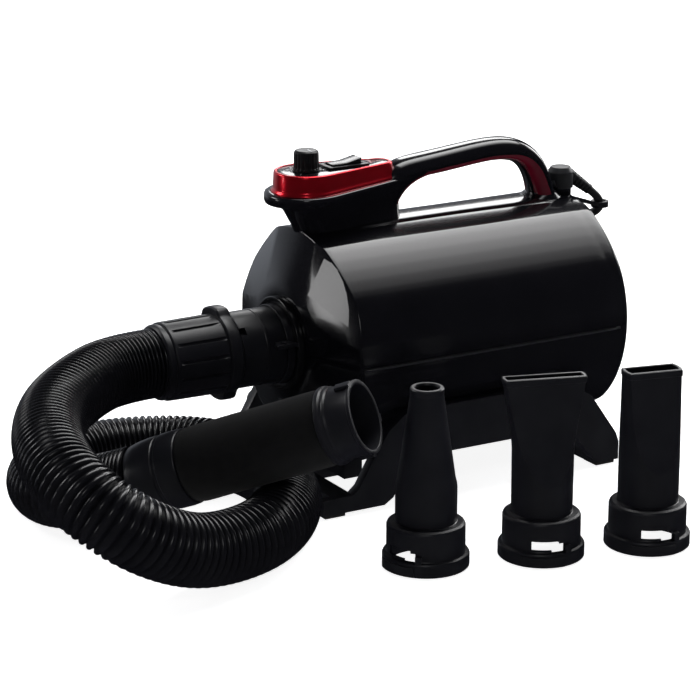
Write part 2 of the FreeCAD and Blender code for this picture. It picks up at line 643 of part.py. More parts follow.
# ------------------------------------------------------------------ motor and fan
motor_can = turned("motor_can", [
    (dim("bearing_rad"), 0), (dim("can_rad"), 0), (dim("can_rad"), 82), (dim("can_rad") - 2, 82),
    (dim("can_rad") - 2, 2), (dim("bearing_rad") + 3, 2), (dim("bearing_rad") + 3, 8), (dim("bearing_rad"), 8)],
    -42, 0, AX, ALONG)
motor_plate = turned("motor_end_plate", [
    (dim("bearing_rad"), 0), (dim("bearing_rad") + 3, 0), (dim("bearing_rad") + 3, 5), (dim("can_rad"), 5),
    (dim("can_rad"), 8), (dim("bearing_rad"), 8)], 35, 0, AX, ALONG)
stator = ring("motor_stator", dim("can_rad") - 2.05, dim("stator_in"), 50, -26, 0, AX, ALONG)
rotor = turned("motor_rotor", [
    (dim("shaft_rad") + 0.01, 0), (dim("rotor_rad"), 0), (dim("rotor_rad"), 48), (13, 48), (13, 56), (dim("shaft_rad") + 0.01, 56)],
    -25, 0, AX, ALONG)
shaft = cylinder("motor_shaft", dim("shaft_rad"), 132, -42, 0, AX, ALONG)
bearings = gather("motor_bearings", [
    ring("bearing_front", dim("bearing_rad"), dim("shaft_rad") + 0.03, 7, -41, 0, AX, ALONG),
    ring("bearing_rear", dim("bearing_rad"), dim("shaft_rad") + 0.03, 7, 35.5, 0, AX, ALONG)])
fan_shroud = turned("fan_shroud", [
    (dim("can_rad") + 0.05, 0), (dim("shroud_rad"), 0), (dim("shroud_rad"), 52), (27, 52), (27, 50),
    (dim("shroud_rad") - 2, 50), (dim("shroud_rad") - 2, 2), (dim("can_rad") + 0.05, 2)], 38, 0, AX, ALONG)
fan_hub = turned("fan_hub", [
    (dim("shaft_rad"), 0), (dim("fan_rad"), 0), (dim("fan_rad"), 1.6), (11, 1.6), (11, 18), (dim("shaft_rad"), 18)],
    60, 0, AX, ALONG)
fan_face = turned("fan_face", [(26, 0), (dim("fan_rad"), 0), (dim("fan_rad"), 1.4), (26, 1.4)], 79, 0, AX, ALONG)
vanes = []
for i in range(9):
    a = math.radians(40 * i)
    rot = FreeCAD.Rotation(V(1, 0, 0), 40 * i).multiply(FreeCAD.Rotation(V(0, 1, 0), 0))
    vanes.append(block("fan_vane%d" % i, 17.6, 54, 1.4, 61.5, 10.8 * math.cos(a), AX + 10.8 * math.sin(a), rot))
impeller = fuse("impeller", [fan_hub, fan_face] + vanes)
rear_ring = ring("motor_mount_rear", 77, dim("shroud_rad"), 12, 72, 0, AX, ALONG)
front_ring = ring("motor_mount_front", 60, dim("can_rad"), 10, -38, 0, AX, ALONG)
web_rear = cut("bulkhead_rear", common("bulkhead_rear_blank", case_void, block("bulkhead_rear_slab", 4, 220, 220, 76, -110, 5)),
               cylinder("bulkhead_rear_hole", 77, 10, 73, 0, AX, ALONG))
web_front = cut("bulkhead_front", common("bulkhead_front_blank", case_void, block("bulkhead_front_slab", 4, 220, 220, -35, -110, 5)),
                cylinder("bulkhead_front_hole", 60, 10, -38, 0, AX, ALONG))
foam = ring("acoustic_foam", 83, 75, 100, -28, 0, AX, ALONG)
duct = turned("outlet_duct", [
    (28.6, 0), (31.4, 0), (50, 42), (47.2, 42)], -84, 0, AX, ALONG)
board = cut("control_board", fuse("control_board_full", [block("control_board_sheet", 60, 44, 1.6, -26, -22, 167)] +
            [cylinder("control_board_post%d" % i, 2.5, 8, px, py, 159.2)
             for i, (px, py) in enumerate(((-20, -15), (-20, 15), (28, -15), (28, 15)))]),
            cylinder("control_board_seat", dim("can_rad"), 120, -60, 0, AX, ALONG))
heat = fuse("control_heatsink", [block("heatsink_base", 30, 22, 2, -12, -11, 168.6)] +
            [block("heatsink_fin%d" % i, 30, 1.2, 6, -12, -11 + 5.2 * i, 170.5) for i in range(5)])

# ------------------------------------------------------------------ intake
intake_blank = turned("intake_ring_blank", [
    (50, 0), (64, 0), (64, 4), (dim("intake_rad"), 4), (dim("intake_rad"), 12.5), (50, 12.5)],
    161, 0, AX, ALONG)
intake_ring = cut("intake_ring", intake_blank, inlet_screws)
cover_turn = turned("intake_cover_turn", [
    (dim("cover_in"), 0), (dim("cover_rad"), 0), (dim("cover_rad"), 12), (dim("cover_rad") - 4, 17.5), (0, 17.5),
    (0, 14.5), (dim("cover_in"), 14.5)], 168.5, 0, AX, ALONG)
slots = []
for i in range(-4, 5):
    w = 2 * math.sqrt(46.0 ** 2 - (10.0 * i) ** 2)
    slots.append(block("intake_slot%d" % (i + 4), 12, w, 5.4, 180, -w / 2, AX + 10.0 * i - 2.7))
intake_cover = cut("intake_cover", cover_turn, slots)
filter_foam = cylinder("filter_foam", 53.4, 8, 174.8, 0, AX, ALONG)

# ------------------------------------------------------------------ mains entry
boss_full = cylinder("cable_boss_full", 9, 20, 161, 0, 187)
cable_boss = cut("cable_boss", boss_full, [case_solid, handle_moulding])
boss_cap = cut("cable_boss_cap", turned("cable_boss_cap_blank", [(0, 0), (10.5, 0), (10.5, 13), (8, 17), (0, 17)], 161, 0, 207), [handle_moulding])
relief_dir = V(0.81, 0, -0.5864)
RELIEF = FreeCAD.Rotation(V(0, 0, 1), relief_dir)
relief_start = (169.5, 0.0, 216.0)
relief_cone = cone("strain_relief_full", 5.6, 4.2, 25, *relief_start, RELIEF)
strain_relief = cut("strain_relief", relief_cone, [boss_cap])
relief_end = (169.5 + 0.81 * 25, 0.0, 216.0 - 0.5864 * 25)
clip_arm = plate("cord_clip_arm", [(0, 12), (2, 15), (36, 3.2), (36, 0.2), (12, 8), (4, 4), (0, 4)], 7, 162, 3.5, 186, PLANE_XZ)
clip_eye = ring("cord_clip_eye", 7.2, 5.0, 5, 202.1, 1.6, 185)
cord_clip = cut("cord_clip", fuse("cord_clip_full", [clip_arm, clip_eye]), [
    case_solid, boss_full, cylinder("cord_clip_bore", 5.0, 20, 202.1, 1.6, 180)])

CABLE = [relief_end, (199.8, 0, 194.1), (204, 3, 182), (203, 26, 171.5), (201, 48, 158.5), (199, 64, 140), (197, 70, 122), (196, 73, 98), (195, 75, 72),
         (194, 78, 46), (190, 89, 24), (182, 104, 9), (172, 124, 3.6), (166, 160, 3.5), (160, 200, 3.5),
         (130, 228, 3.5), (85, 236, 3.5), (40, 228, 3.5), (2, 214, 3.5), (-22, 198, 3.5), (-34, 176, 3.5),
         (-26, 152, 3.5), (-4, 138, 3.5), (22, 136, 3.5), (46, 142, 3.5), (58, 150, 3.5)]
mains_cable = tube("mains_cable", CABLE, num(dim("cable_rad")))
COIL = (104.0, 168.0)
coil_out = dim("coil_mean") + 10.5
coil_in = dim("coil_mean") - 10.5
mains_coil = ring("mains_coil", coil_out, coil_in, dim("coil_tall"), COIL[0], COIL[1], 0)
tie = cut("coil_tie", block("coil_tie_outer", 25, 9, num(dim("coil_tall")) + 2.2, COIL[0] + 29.5, COIL[1] - 4.5, 0),
          block("coil_tie_inner", 21, 11, num(dim("coil_tall")), COIL[0] + 31.5, COIL[1] - 5.5, 0))
plug_body = fuse("mains_plug", [
    block("plug_shell", 36, 24, 18, COIL[0] - 18, COIL[1] - 54, 21),
    cylinder("plug_pin_a", 2.0, 19, COIL[0] + 18, COIL[1] - 48, 30, ALONG),
    cylinder("plug_pin_b", 2.0, 19, COIL[0] + 18, COIL[1] - 36, 30, ALONG)])

# ------------------------------------------------------------------ fasteners
NODES = {
    "upper_housing": upper_housing, "lower_housing": lower_housing, "front_trim_ring": front_trim,
    "outlet_horn": outlet_horn, "outlet_collar": outlet_collar, "latch_tab": latch_tab,
    "outlet_seal": outlet_seal, "hose_cuff": hose_cuff, "hose_end_ring": hose_end_ring,
    "hose_tube": hose_tube, "grip_tail_cuff": grip_tail, "grip_core_tube": grip_core,
    "grip_foam_sleeve": grip_sleeve, "grip_mouth_ring": grip_mouth,
    "nozzle_cone": nozzle_cone, "nozzle_fishtail": nozzle_fishtail, "nozzle_flat": nozzle_flat,
    "handle_moulding": handle_moulding, "handle_liner": handle_liner,
    "console_rim": console_rim, "console_bezel": console_bezel, "console_plate": console_plate,
    "speed_knob": knob, "knob_stem": knob_stem, "speed_control": control_pot,
    "switch_frame": switch_frame, "rocker_switch": rocker_body,
    "base_cradle": base_cradle, "foot_pads": foot_pads,
    "motor_can": motor_can, "motor_end_plate": motor_plate, "motor_stator": stator, "motor_rotor": rotor,
    "motor_shaft": shaft, "motor_bearings": bearings, "fan_shroud": fan_shroud, "impeller": impeller,
    "motor_mount_rear": rear_ring, "motor_mount_front": front_ring,
    "bulkhead_rear": web_rear, "bulkhead_front": web_front, "acoustic_foam": foam, "outlet_duct": duct,
    "control_board": board, "control_heatsink": heat,
    "intake_ring": intake_ring, "intake_cover": intake_cover, "filter_foam": filter_foam,
    "cable_boss": cable_boss, "cable_boss_cap": boss_cap, "strain_relief": strain_relief, "cord_clip": cord_clip,
    "mains_cable": mains_cable, "mains_coil": mains_coil, "coil_tie": tie, "mains_plug": plug_body,
    "base_screws": base_screws, "intake_screws": inlet_screws,
}
doc.recompute()
for o in doc.Objects:
    for bad in ("Invalid", "Error"):
        if bad in o.State:
            raise RuntimeError("%s is %s" % (o.Name, bad))
for node, obj in NODES.items():
    obj.Label = node
    s = obj.Shape
    if s.isNull() or not s.isValid():
        raise RuntimeError("shape of %s" % node)
os.makedirs("parts", exist_ok=True)
for old in os.listdir("parts"):
    if old.endswith(".step"):
        os.remove(os.path.join("parts", old))
box = None
for node, obj in NODES.items():
    obj.Shape.exportStep(os.path.join("parts", node + ".step"))
    b = obj.Shape.BoundBox
    if node not in ("hose_tube", "grip_tail_cuff", "grip_core_tube", "grip_foam_sleeve", "grip_mouth_ring",
                    "mains_cable", "mains_coil", "coil_tie", "mains_plug"):
        if box is None:
            box = FreeCAD.BoundBox(b)
        else:
            box.add(b)
print("nodes", len(NODES))
print("box", [round(v, 2) for v in (box.XMin, box.XMax, box.YMin, box.YMax, box.ZMin, box.ZMax)])
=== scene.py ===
import json
import math

import bmesh
import bpy
from mathutils import Matrix, Vector, noise

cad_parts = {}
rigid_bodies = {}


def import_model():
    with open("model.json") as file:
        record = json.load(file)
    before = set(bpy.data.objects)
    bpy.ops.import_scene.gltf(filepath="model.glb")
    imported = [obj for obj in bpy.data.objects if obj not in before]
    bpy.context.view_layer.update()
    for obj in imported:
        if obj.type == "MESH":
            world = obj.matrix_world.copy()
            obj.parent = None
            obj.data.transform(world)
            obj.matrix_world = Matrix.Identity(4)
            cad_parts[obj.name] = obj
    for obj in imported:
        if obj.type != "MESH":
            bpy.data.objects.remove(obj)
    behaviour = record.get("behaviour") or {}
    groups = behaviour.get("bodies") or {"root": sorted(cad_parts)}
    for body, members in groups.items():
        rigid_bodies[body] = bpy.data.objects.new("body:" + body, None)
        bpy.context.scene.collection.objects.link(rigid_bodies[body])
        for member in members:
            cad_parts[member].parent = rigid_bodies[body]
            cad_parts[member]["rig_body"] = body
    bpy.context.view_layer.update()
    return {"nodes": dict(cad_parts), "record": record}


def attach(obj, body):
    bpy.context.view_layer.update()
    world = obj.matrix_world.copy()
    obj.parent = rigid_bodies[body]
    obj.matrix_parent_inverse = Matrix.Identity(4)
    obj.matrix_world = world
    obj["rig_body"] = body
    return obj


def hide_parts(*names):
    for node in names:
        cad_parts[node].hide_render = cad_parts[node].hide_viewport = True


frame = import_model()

DATUM_X, DATUM_Y = 0.2, 95.5
scene = bpy.context.scene
TAU = 2 * math.pi


def R(x, y, z):
    """Datum millimetres to the row frame in metres."""
    return Vector(((x + DATUM_X) / 1000, (y + DATUM_Y) / 1000, z / 1000))


# ------------------------------------------------------------------ camera, light, floor
back = Vector((-0.47866, -0.82906, 0.28903))
aim = Vector((-0.02877, 0.10959, 0.09242))
cam_data = bpy.data.cameras.new("camera")
cam_data.lens = 140.9
cam_data.sensor_width = 36
cam_data.clip_end = 50
cam = bpy.data.objects.new("camera", cam_data)
scene.collection.objects.link(cam)
cam.location = aim + back * 2.192
cam.rotation_euler = back.to_track_quat("Z", "Y").to_euler()
scene.camera = cam
scene.view_settings.view_transform = "Standard"
scene.view_settings.look = "None"

world = bpy.data.worlds.new("studio")
scene.world = world
world.use_nodes = True
wn, wl = world.node_tree.nodes, world.node_tree.links
wn.clear()
w_out = wn.new("ShaderNodeOutputWorld")
w_cam = wn.new("ShaderNodeBackground")
w_cam.inputs["Color"].default_value = (1, 1, 1, 1)
w_cam.inputs["Strength"].default_value = 1.0
w_env = wn.new("ShaderNodeBackground")
w_env.inputs["Strength"].default_value = 1.0
w_path = wn.new("ShaderNodeLightPath")
w_mix = wn.new("ShaderNodeMixShader")
w_tc = wn.new("ShaderNodeTexCoord")
w_sep = wn.new("ShaderNodeSeparateXYZ")
w_ramp = wn.new("ShaderNodeValToRGB")
w_map = wn.new("ShaderNodeMapRange")
wl.new(w_tc.outputs["Generated"], w_sep.inputs[0])
wl.new(w_sep.outputs["Y"], w_map.inputs["Value"])
w_map.inputs["From Min"].default_value = -1
w_map.inputs["From Max"].default_value = 1
wl.new(w_map.outputs[0], w_ramp.inputs[0])
w_ramp.color_ramp.elements[0].position = 0.90
w_ramp.color_ramp.elements[0].color = (0.028, 0.028, 0.034, 1)
w_ramp.color_ramp.elements[1].position = 0.97
w_ramp.color_ramp.elements[1].color = (0.36, 0.38, 0.42, 1)
w_high = wn.new("ShaderNodeMapRange")
w_high.inputs["From Min"].default_value = -0.26
w_high.inputs["From Max"].default_value = -0.10
w_high.inputs["To Min"].default_value = 0.05
w_high.inputs["To Max"].default_value = 1.0
wl.new(w_sep.outputs["Z"], w_high.inputs["Value"])
wl.new(w_high.outputs[0], w_env.inputs["Strength"])
wl.new(w_ramp.outputs[0], w_env.inputs["Color"])
wl.new(w_path.outputs["Is Camera Ray"], w_mix.inputs[0])
wl.new(w_env.outputs[0], w_mix.inputs[1])
wl.new(w_cam.outputs[0], w_mix.inputs[2])
wl.new(w_mix.outputs[0], w_out.inputs["Surface"])


def area_light(name, at, look, w, h, watts, tint=(1, 1, 1)):
    d = bpy.data.lights.new(name, "AREA")
    d.shape = "RECTANGLE"
    d.size, d.size_y = w, h
    d.energy = watts
    d.color = tint
    o = bpy.data.objects.new(name, d)
    scene.collection.objects.link(o)
    o.location = at
    o.rotation_euler = (Vector(at) - Vector(look)).to_track_quat("Z", "Y").to_euler()
    return o


mid = Vector((0.0, 0.1, 0.12))
# overhead box that the upper near facet reflects

def flat_light(name, x, y, z, lx, ly, watts):
    """A level box of light that faces straight down, lx along x and ly along y."""
    o = area_light(name, (x, y, z), (x, y, z - 1), lx, ly, watts)
    o.rotation_euler = (0, 0, 0)
    return o


# overhead boxes, brightest towards the back, that the upper near facet reflects as a fade
flat_light("top_a", 0.85, 0.60, 1.70, 1.9, 0.50, 17.0)
flat_light("top_b", 0.85, 0.28, 1.70, 1.9, 0.14, 4.4)
flat_light("top_c", 0.85, 0.14, 1.70, 1.9, 0.14, 3.2)
flat_light("top_d", 0.85, 0.00, 1.70, 1.9, 0.14, 2.1)
flat_light("top_e", 0.85, -0.14, 1.70, 1.9, 0.14, 1.2)
flat_light("top_f", 0.85, -0.28, 1.70, 1.9, 0.14, 0.5)
area_light("corner_card", mid + Vector((-1.85, 0.84, 0.17)), mid, 0.22, 0.30, 1.05)
area_light("fill_front", mid + Vector((-1.2, -1.9, 1.5)), mid, 0.5, 0.5, 3.0)
area_light("rim_right", mid + Vector((1.7, 0.5, 0.6)), mid, 0.3, 1.2, 7)
area_light("rim_left", mid + Vector((-1.5, 1.5, 1.2)), mid, 0.8, 0.5, 8)
area_light("fill_back", mid + Vector((1.5, 2.2, 1.3)), mid, 1.2, 0.8, 14)
area_light("fill_rear", mid + Vector((2.3, 0.3, 0.9)), mid, 0.9, 0.8, 9)

floor_mesh = bpy.data.meshes.new("floor")
floor_mesh.from_pydata([(-6, -6, 0), (6, -6, 0), (6, 6, 0), (-6, 6, 0)], [], [(0, 1, 2, 3)])
floor = bpy.data.objects.new("floor", floor_mesh)
scene.collection.objects.link(floor)
floor.location = (0, 0, -0.0004)
floor.visible_glossy = False
fm = bpy.data.materials.new("floor_paper")
fm.use_nodes = True
fb = fm.node_tree.nodes["Principled BSDF"]
fb.inputs["Base Color"].default_value = (0.93, 0.93, 0.93, 1)
fb.inputs["Roughness"].default_value = 0.9
fb.inputs["Specular IOR Level"].default_value = 0.0
fb.inputs["Emission Color"].default_value = (1, 1, 1, 1)
fb.inputs["Emission Strength"].default_value = 0.90
floor_mesh.materials.append(fm)


# ------------------------------------------------------------------ materials
def material(name, color, rough, var=0.05, scale=60, bump=0.05, bump_dist=0.0004, metal=0.0, coat=0.0,
             coat_rough=0.05, tint=0.12, spec=0.5, fine=900, kind="plastic", sheen=0.0, edge=0.0):
    m = bpy.data.materials.new(name)
    m.use_nodes = True
    nt = m.node_tree
    N, L = nt.nodes, nt.links
    b = N["Principled BSDF"]
    b.inputs["Metallic"].default_value = metal
    b.inputs["Coat Weight"].default_value = coat
    b.inputs["Coat Roughness"].default_value = coat_rough
    b.inputs["Specular IOR Level"].default_value = spec
    if sheen:
        b.inputs["Sheen Weight"].default_value = sheen
        b.inputs["Sheen Roughness"].default_value = 0.5
    tc = N.new("ShaderNodeTexCoord")
    big = N.new("ShaderNodeTexNoise")
    big.inputs["Scale"].default_value = scale
    big.inputs["Detail"].default_value = 5
    L.new(tc.outputs["Object"], big.inputs["Vector"])
    small = N.new("ShaderNodeTexNoise" if kind != "brushed" else "ShaderNodeTexNoise")
    small.inputs["Scale"].default_value = fine
    small.inputs["Detail"].default_value = 3
    if kind == "brushed":
        mp = N.new("ShaderNodeMapping")
        mp.inputs["Scale"].default_value = (0.05, 1, 1)
        L.new(tc.outputs["Object"], mp.inputs["Vector"])
        L.new(mp.outputs[0], small.inputs["Vector"])
    else:
        L.new(tc.outputs["Object"], small.inputs["Vector"])
    cr = N.new("ShaderNodeValToRGB")
    lo = tuple(max(0.0, c * (1 - tint)) for c in color) + (1,)
    hi = tuple(min(1.0, c * (1 + tint) + 0.001) for c in color) + (1,)
    cr.color_ramp.elements[0].color = lo
    cr.color_ramp.elements[1].color = hi
    cr.color_ramp.elements[0].position = 0.3
    cr.color_ramp.elements[1].position = 0.7
    L.new(big.outputs["Fac"], cr.inputs[0])
    col = cr.outputs[0]
    # painted edge highlight: the base colour is lightened on convex edges (pointiness) by the amount in edge; every
    # material here leaves it at zero
    if edge:
        geo = N.new("ShaderNodeNewGeometry")
        er = N.new("ShaderNodeValToRGB")
        er.color_ramp.elements[0].position = 0.52
        er.color_ramp.elements[1].position = 0.62
        er.color_ramp.elements[0].color = (0, 0, 0, 1)
        er.color_ramp.elements[1].color = (edge, edge, edge, 1)
        L.new(geo.outputs["Pointiness"], er.inputs[0])
        mx = N.new("ShaderNodeMixRGB")
        mx.blend_type = "ADD"
        mx.inputs[0].default_value = 1.0
        L.new(col, mx.inputs[1])
        L.new(er.outputs[0], mx.inputs[2])
        col = mx.outputs[0]
    L.new(col, b.inputs["Base Color"])
    mr = N.new("ShaderNodeMapRange")
    mr.inputs["To Min"].default_value = max(0.01, rough - var)
    mr.inputs["To Max"].default_value = rough + var
    L.new(big.outputs["Fac"], mr.inputs["Value"])
    L.new(mr.outputs[0], b.inputs["Roughness"])
    if bump:
        bp = N.new("ShaderNodeBump")
        bp.inputs["Strength"].default_value = bump
        bp.inputs["Distance"].default_value = bump_dist
        L.new(small.outputs["Fac"], bp.inputs["Height"])
        L.new(bp.outputs[0], b.inputs["Normal"])
    return m


M = {
    "case_gloss": material("case_gloss", (0.0033, 0.0033, 0.0048), 0.16, 0.02, 25, 0.012, 0.0002, coat=0.35, coat_rough=0.06, fine=700),
    "satin_black": material("satin_black", (0.0070, 0.0072, 0.0105), 0.36, 0.05, 70, 0.12, 0.0002, fine=1800, edge=0.0),
    "seal_rubber": material("seal_rubber", (0.012, 0.012, 0.012), 0.7, 0.06, 90, 0.2, 0.0003, fine=1500),
    "hose_plastic": material("hose_plastic", (0.0045, 0.0045, 0.0062), 0.24, 0.05, 40, 0.05, 0.0002, fine=1200),
    "grip_foam": material("grip_foam", (0.0045, 0.0045, 0.005), 0.88, 0.05, 120, 0.5, 0.0004, fine=1600, spec=0.18, sheen=0.03),
    "red_plastic": material("red_plastic", (0.11, 0.002, 0.012), 0.26, 0.03, 40, 0.03, 0.0002, coat=0.3, fine=900),
    "red_metal": material("red_metal", (0.74, 0.004, 0.020), 0.28, 0.02, 30, 0.012, 0.0001, metal=0.9, coat=0.5, coat_rough=0.12, fine=1200, tint=0.05),
    "knob_black": material("knob_black", (0.0045, 0.0045, 0.0055), 0.36, 0.05, 90, 0.15, 0.0002, fine=1800),
    "steel": material("steel", (0.55, 0.55, 0.57), 0.34, 0.06, 60, 0.2, 0.0002, metal=1.0, kind="brushed", fine=900),
    "aluminium": material("aluminium", (0.70, 0.71, 0.73), 0.38, 0.06, 60, 0.15, 0.0002, metal=1.0, fine=1200),
    "board_green": material("board_green", (0.01, 0.12, 0.04), 0.4, 0.08, 120, 0.2, 0.0003, fine=900),
    "switch_black": material("switch_black", (0.005, 0.005, 0.006), 0.2, 0.04, 80, 0.04, 0.0002, fine=1400),
    "base_satin": material("base_satin", (0.0080, 0.0082, 0.0115), 0.34, 0.05, 60, 0.10, 0.0002, fine=1800),
    "copper": material("copper", (0.66, 0.33, 0.18), 0.35, 0.06, 120, 0.3, 0.0003, metal=1.0, kind="brushed", fine=1000),
    "foam_grey": material("foam_grey", (0.045, 0.045, 0.05), 0.95, 0.04, 200, 0.9, 0.0012, fine=700, sheen=0.1),
    "cap_grey": material("cap_grey", (0.015, 0.0155, 0.018), 0.42, 0.05, 70, 0.12, 0.0002, fine=1500),
    "cable_black": material("cable_black", (0.009, 0.009, 0.010), 0.42, 0.05, 90, 0.10, 0.0002, fine=1500),
    "brass_pin": material("brass_pin", (0.72, 0.72, 0.70), 0.25, 0.05, 80, 0.05, 0.0002, metal=1.0, kind="brushed"),
}
SLOT_OF = {s["node"]: s["material_slot"] for s in frame["record"]["subparts"]}
SHARP = math.radians(32)
for node, o in frame["nodes"].items():
    o.data.materials.clear()
    o.data.materials.append(M[SLOT_OF[node]])


# ------------------------------------------------------------------ mesh helpers
def new_piece(name, bm, slot, body, cad=(), smooth=SHARP, mat=None, keep_sharp=False):
    me = bpy.data.meshes.new(name)
    bmesh.ops.recalc_face_normals(bm, faces=bm.faces[:])
    bm.to_mesh(me)
    bm.free()
    o = bpy.data.objects.new(name, me)
    scene.collection.objects.link(o)
    me.materials.append(M[mat or slot])
    for p in me.polygons:
        p.use_smooth = True
    me.set_sharp_from_angle(angle=smooth)
    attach(o, body)
    if cad:
        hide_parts(*cad)
    return o


def grid_faces(bm, rows, close_u=True, close_v=False):
    """Quads between successive rings of equal length."""
    n = len(rows[0])
    for i in range(len(rows) - 1 + (1 if close_v else 0)):
        a, b = rows[i], rows[(i + 1) % len(rows)]
        for j in range(n if close_u else n - 1):
            k = (j + 1) % n
            quad = [a[j], a[k], b[k], b[j]]
            uniq = []
            for v in quad:
                if v not in uniq:
                    uniq.append(v)
            if len(uniq) >= 3:
                try:
                    bm.faces.new(uniq)
                except ValueError:
                    pass


def rounded(profile, radius=0.5, steps=3):
    """A closed list of (r, z) with each corner rounded."""
    out = []
    n = len(profile)
    for i in range(n):
        p0, p1, p2 = (Vector(profile[i - 1]), Vector(profile[i]), Vector(profile[(i + 1) % n]))
        d0, d2 = p0 - p1, p2 - p1
        l0, l2 = d0.length, d2.length
        if l0 < 1e-6 or l2 < 1e-6:
            continue
        ang = d0.angle(d2)
        if ang > math.radians(165):
            out.append(tuple(p1))
            continue
        cutb = min(radius / math.tan(ang / 2), l0 * 0.45, l2 * 0.45)
        a, b = p1 + d0.normalized() * cutb, p1 + d2.normalized() * cutb
        for k in range(steps + 1):
            t = k / steps
            q = a.lerp(p1, t).lerp(p1.lerp(b, t), t)
            out.append(tuple(q))
    return out


def lathe(profile, at, axis, segs=96, radius=0.5, steps=3, wave=None, bm=None):
    """Closed profile of (r, axial) in mm turned about `axis` from `at` (datum mm)."""
    bm = bm or bmesh.new()
    ax = Vector(axis).normalized()
    ref = Vector((0, 0, 1)) if abs(ax.z) < 0.9 else Vector((0, -1, 0))
    u = (ref - ax * ref.dot(ax)).normalized()
    w = ax.cross(u)
    pts = rounded(profile, radius, steps) if radius else profile
    rows = []
    for r, z in pts:
        if r < 1e-4:
            v = bm.verts.new(R(*(Vector(at) + ax * z)))
            rows.append([v] * segs)
            continue
        ring = []
        for j in range(segs):
            a = TAU * j / segs
            rr, zz = wave(r, z, a) if wave else (r, z)
            ring.append(bm.verts.new(R(*(Vector(at) + u * (rr * math.cos(a)) + w * (rr * math.sin(a)) + ax * zz))))
        rows.append(ring)
    grid_faces(bm, rows, True, True)
    return bm


def apply_all(o):
    """Apply every modifier of o to its mesh."""
    dg = bpy.context.evaluated_depsgraph_get()
    me = bpy.data.meshes.new_from_object(o.evaluated_get(dg), depsgraph=dg)
    old = o.data
    o.modifiers.clear()
    o.data = me
    bpy.data.meshes.remove(old)
    return o


def temp_box(x0, y0, z0, x1, y1, z1, rot=0.0, about=(0, 0)):
    bm = bmesh.new()
    vs = []
    for x, y, z in ((x0, y0, z0), (x1, y0, z0), (x1, y1, z0), (x0, y1, z0), (x0, y0, z1), (x1, y0, z1), (x1, y1, z1), (x0, y1, z1)):
        c, s = math.cos(rot), math.sin(rot)
        dx, dy = x - about[0], y - about[1]
        vs.append(bm.verts.new(R(about[0] + dx * c - dy * s, about[1] + dx * s + dy * c, z)))
    for f in ((0, 3, 2, 1), (4, 5, 6, 7), (0, 1, 5, 4), (1, 2, 6, 5), (2, 3, 7, 6), (3, 0, 4, 7)):
        bm.faces.new([vs[i] for i in f])
    me = bpy.data.meshes.new("tool")
    bm.to_mesh(me)
    bm.free()
    o = bpy.data.objects.new("tool", me)
    scene.collection.objects.link(o)
    return o


def carve(o, tools):
    for t in tools:
        m = o.modifiers.new("cut", "BOOLEAN")
        m.operation = "DIFFERENCE"
        m.solver = "EXACT"
        m.object = t
    apply_all(o)
    for t in tools:
        bpy.data.objects.remove(t)
    me = o.data
    for p in me.polygons:
        p.use_smooth = True
    me.set_sharp_from_angle(angle=SHARP)
    return o


def soft_copy(node, width=0.6, segs=2, angle=28, name=None):
    """A copy of a CAD piece with its hard edges rounded; it stands for that piece."""
    src = frame["nodes"][node]
    me = src.data.copy()
    o = bpy.data.objects.new(name or node + "_soft", me)
    scene.collection.objects.link(o)
    bm = bmesh.new()
    bm.from_mesh(me)
    bmesh.ops.remove_doubles(bm, verts=bm.verts[:], dist=2e-6)
    bmesh.ops.dissolve_limit(bm, angle_limit=math.radians(1.2), verts=bm.verts[:], edges=bm.edges[:])
    edges = [e for e in bm.edges if len(e.link_faces) == 2 and e.calc_face_angle(0) > math.radians(angle)]
    if edges:
        bmesh.ops.bevel(bm, geom=edges, offset=width / 1000, offset_type="OFFSET", segments=segs,
                        profile=0.5, affect="EDGES", clamp_overlap=True)
    bmesh.ops.triangulate(bm, faces=[f for f in bm.faces if len(f.verts) > 4])
    bm.to_mesh(me)
    bm.free()
    for p in me.polygons:
        p.use_smooth = True
    me.set_sharp_from_angle(angle=math.radians(35))
    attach(o, frame["nodes"][node]["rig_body"])
    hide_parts(node)
    return o


def spline_points(pts, per=12, order=3):
    """Points read from the smooth NURBS line through a route."""
    cu = bpy.data.curves.new("route", "CURVE")
    cu.dimensions = "3D"
    cu.resolution_u = per
    sp = cu.splines.new("NURBS")
    sp.points.add(len(pts) - 1)
    for p, q in zip(sp.points, pts):
        p.co = (*R(*q), 1)
    sp.order_u = order
    sp.use_endpoint_u = True
    o = bpy.data.objects.new("route", cu)
    scene.collection.objects.link(o)
    bpy.context.view_layer.update()
    me = bpy.data.meshes.new_from_object(o)
    out = [v.co.copy() for v in me.vertices]
    bpy.data.objects.remove(o)
    bpy.data.meshes.remove(me)
    return out


def resample(pts, step):
    """Points along a polyline at an even step, with the arc length of each."""
    s = [0.0]
    for a, b in zip(pts, pts[1:]):
        s.append(s[-1] + (b - a).length)
    total = s[-1]
    n = max(2, round(total / step))
    out, i = [], 0
    for k in range(n + 1):
        t = total * k / n
        while i < len(s) - 2 and s[i + 1] < t:
            i += 1
        f = (t - s[i]) / max(1e-12, s[i + 1] - s[i])
        out.append((pts[i].lerp(pts[i + 1], f), t))
    return out, total


def frames(line):
    """Rotation-minimising frames along [(point, s)]."""
    res = []
    u = None
    for i, (p, s) in enumerate(line):
        a = line[max(0, i - 1)][0]
        b = line[min(len(line) - 1, i + 1)][0]
        t = (b - a).normalized()
        if u is None:
            ref = Vector((0, 0, 1)) if abs(t.z) < 0.9 else Vector((1, 0, 0))
            u = (ref - t * ref.dot(t)).normalized()
        else:
            u = (u - t * u.dot(t)).normalized()
        res.append((p, s, t, u, t.cross(u)))
    return res


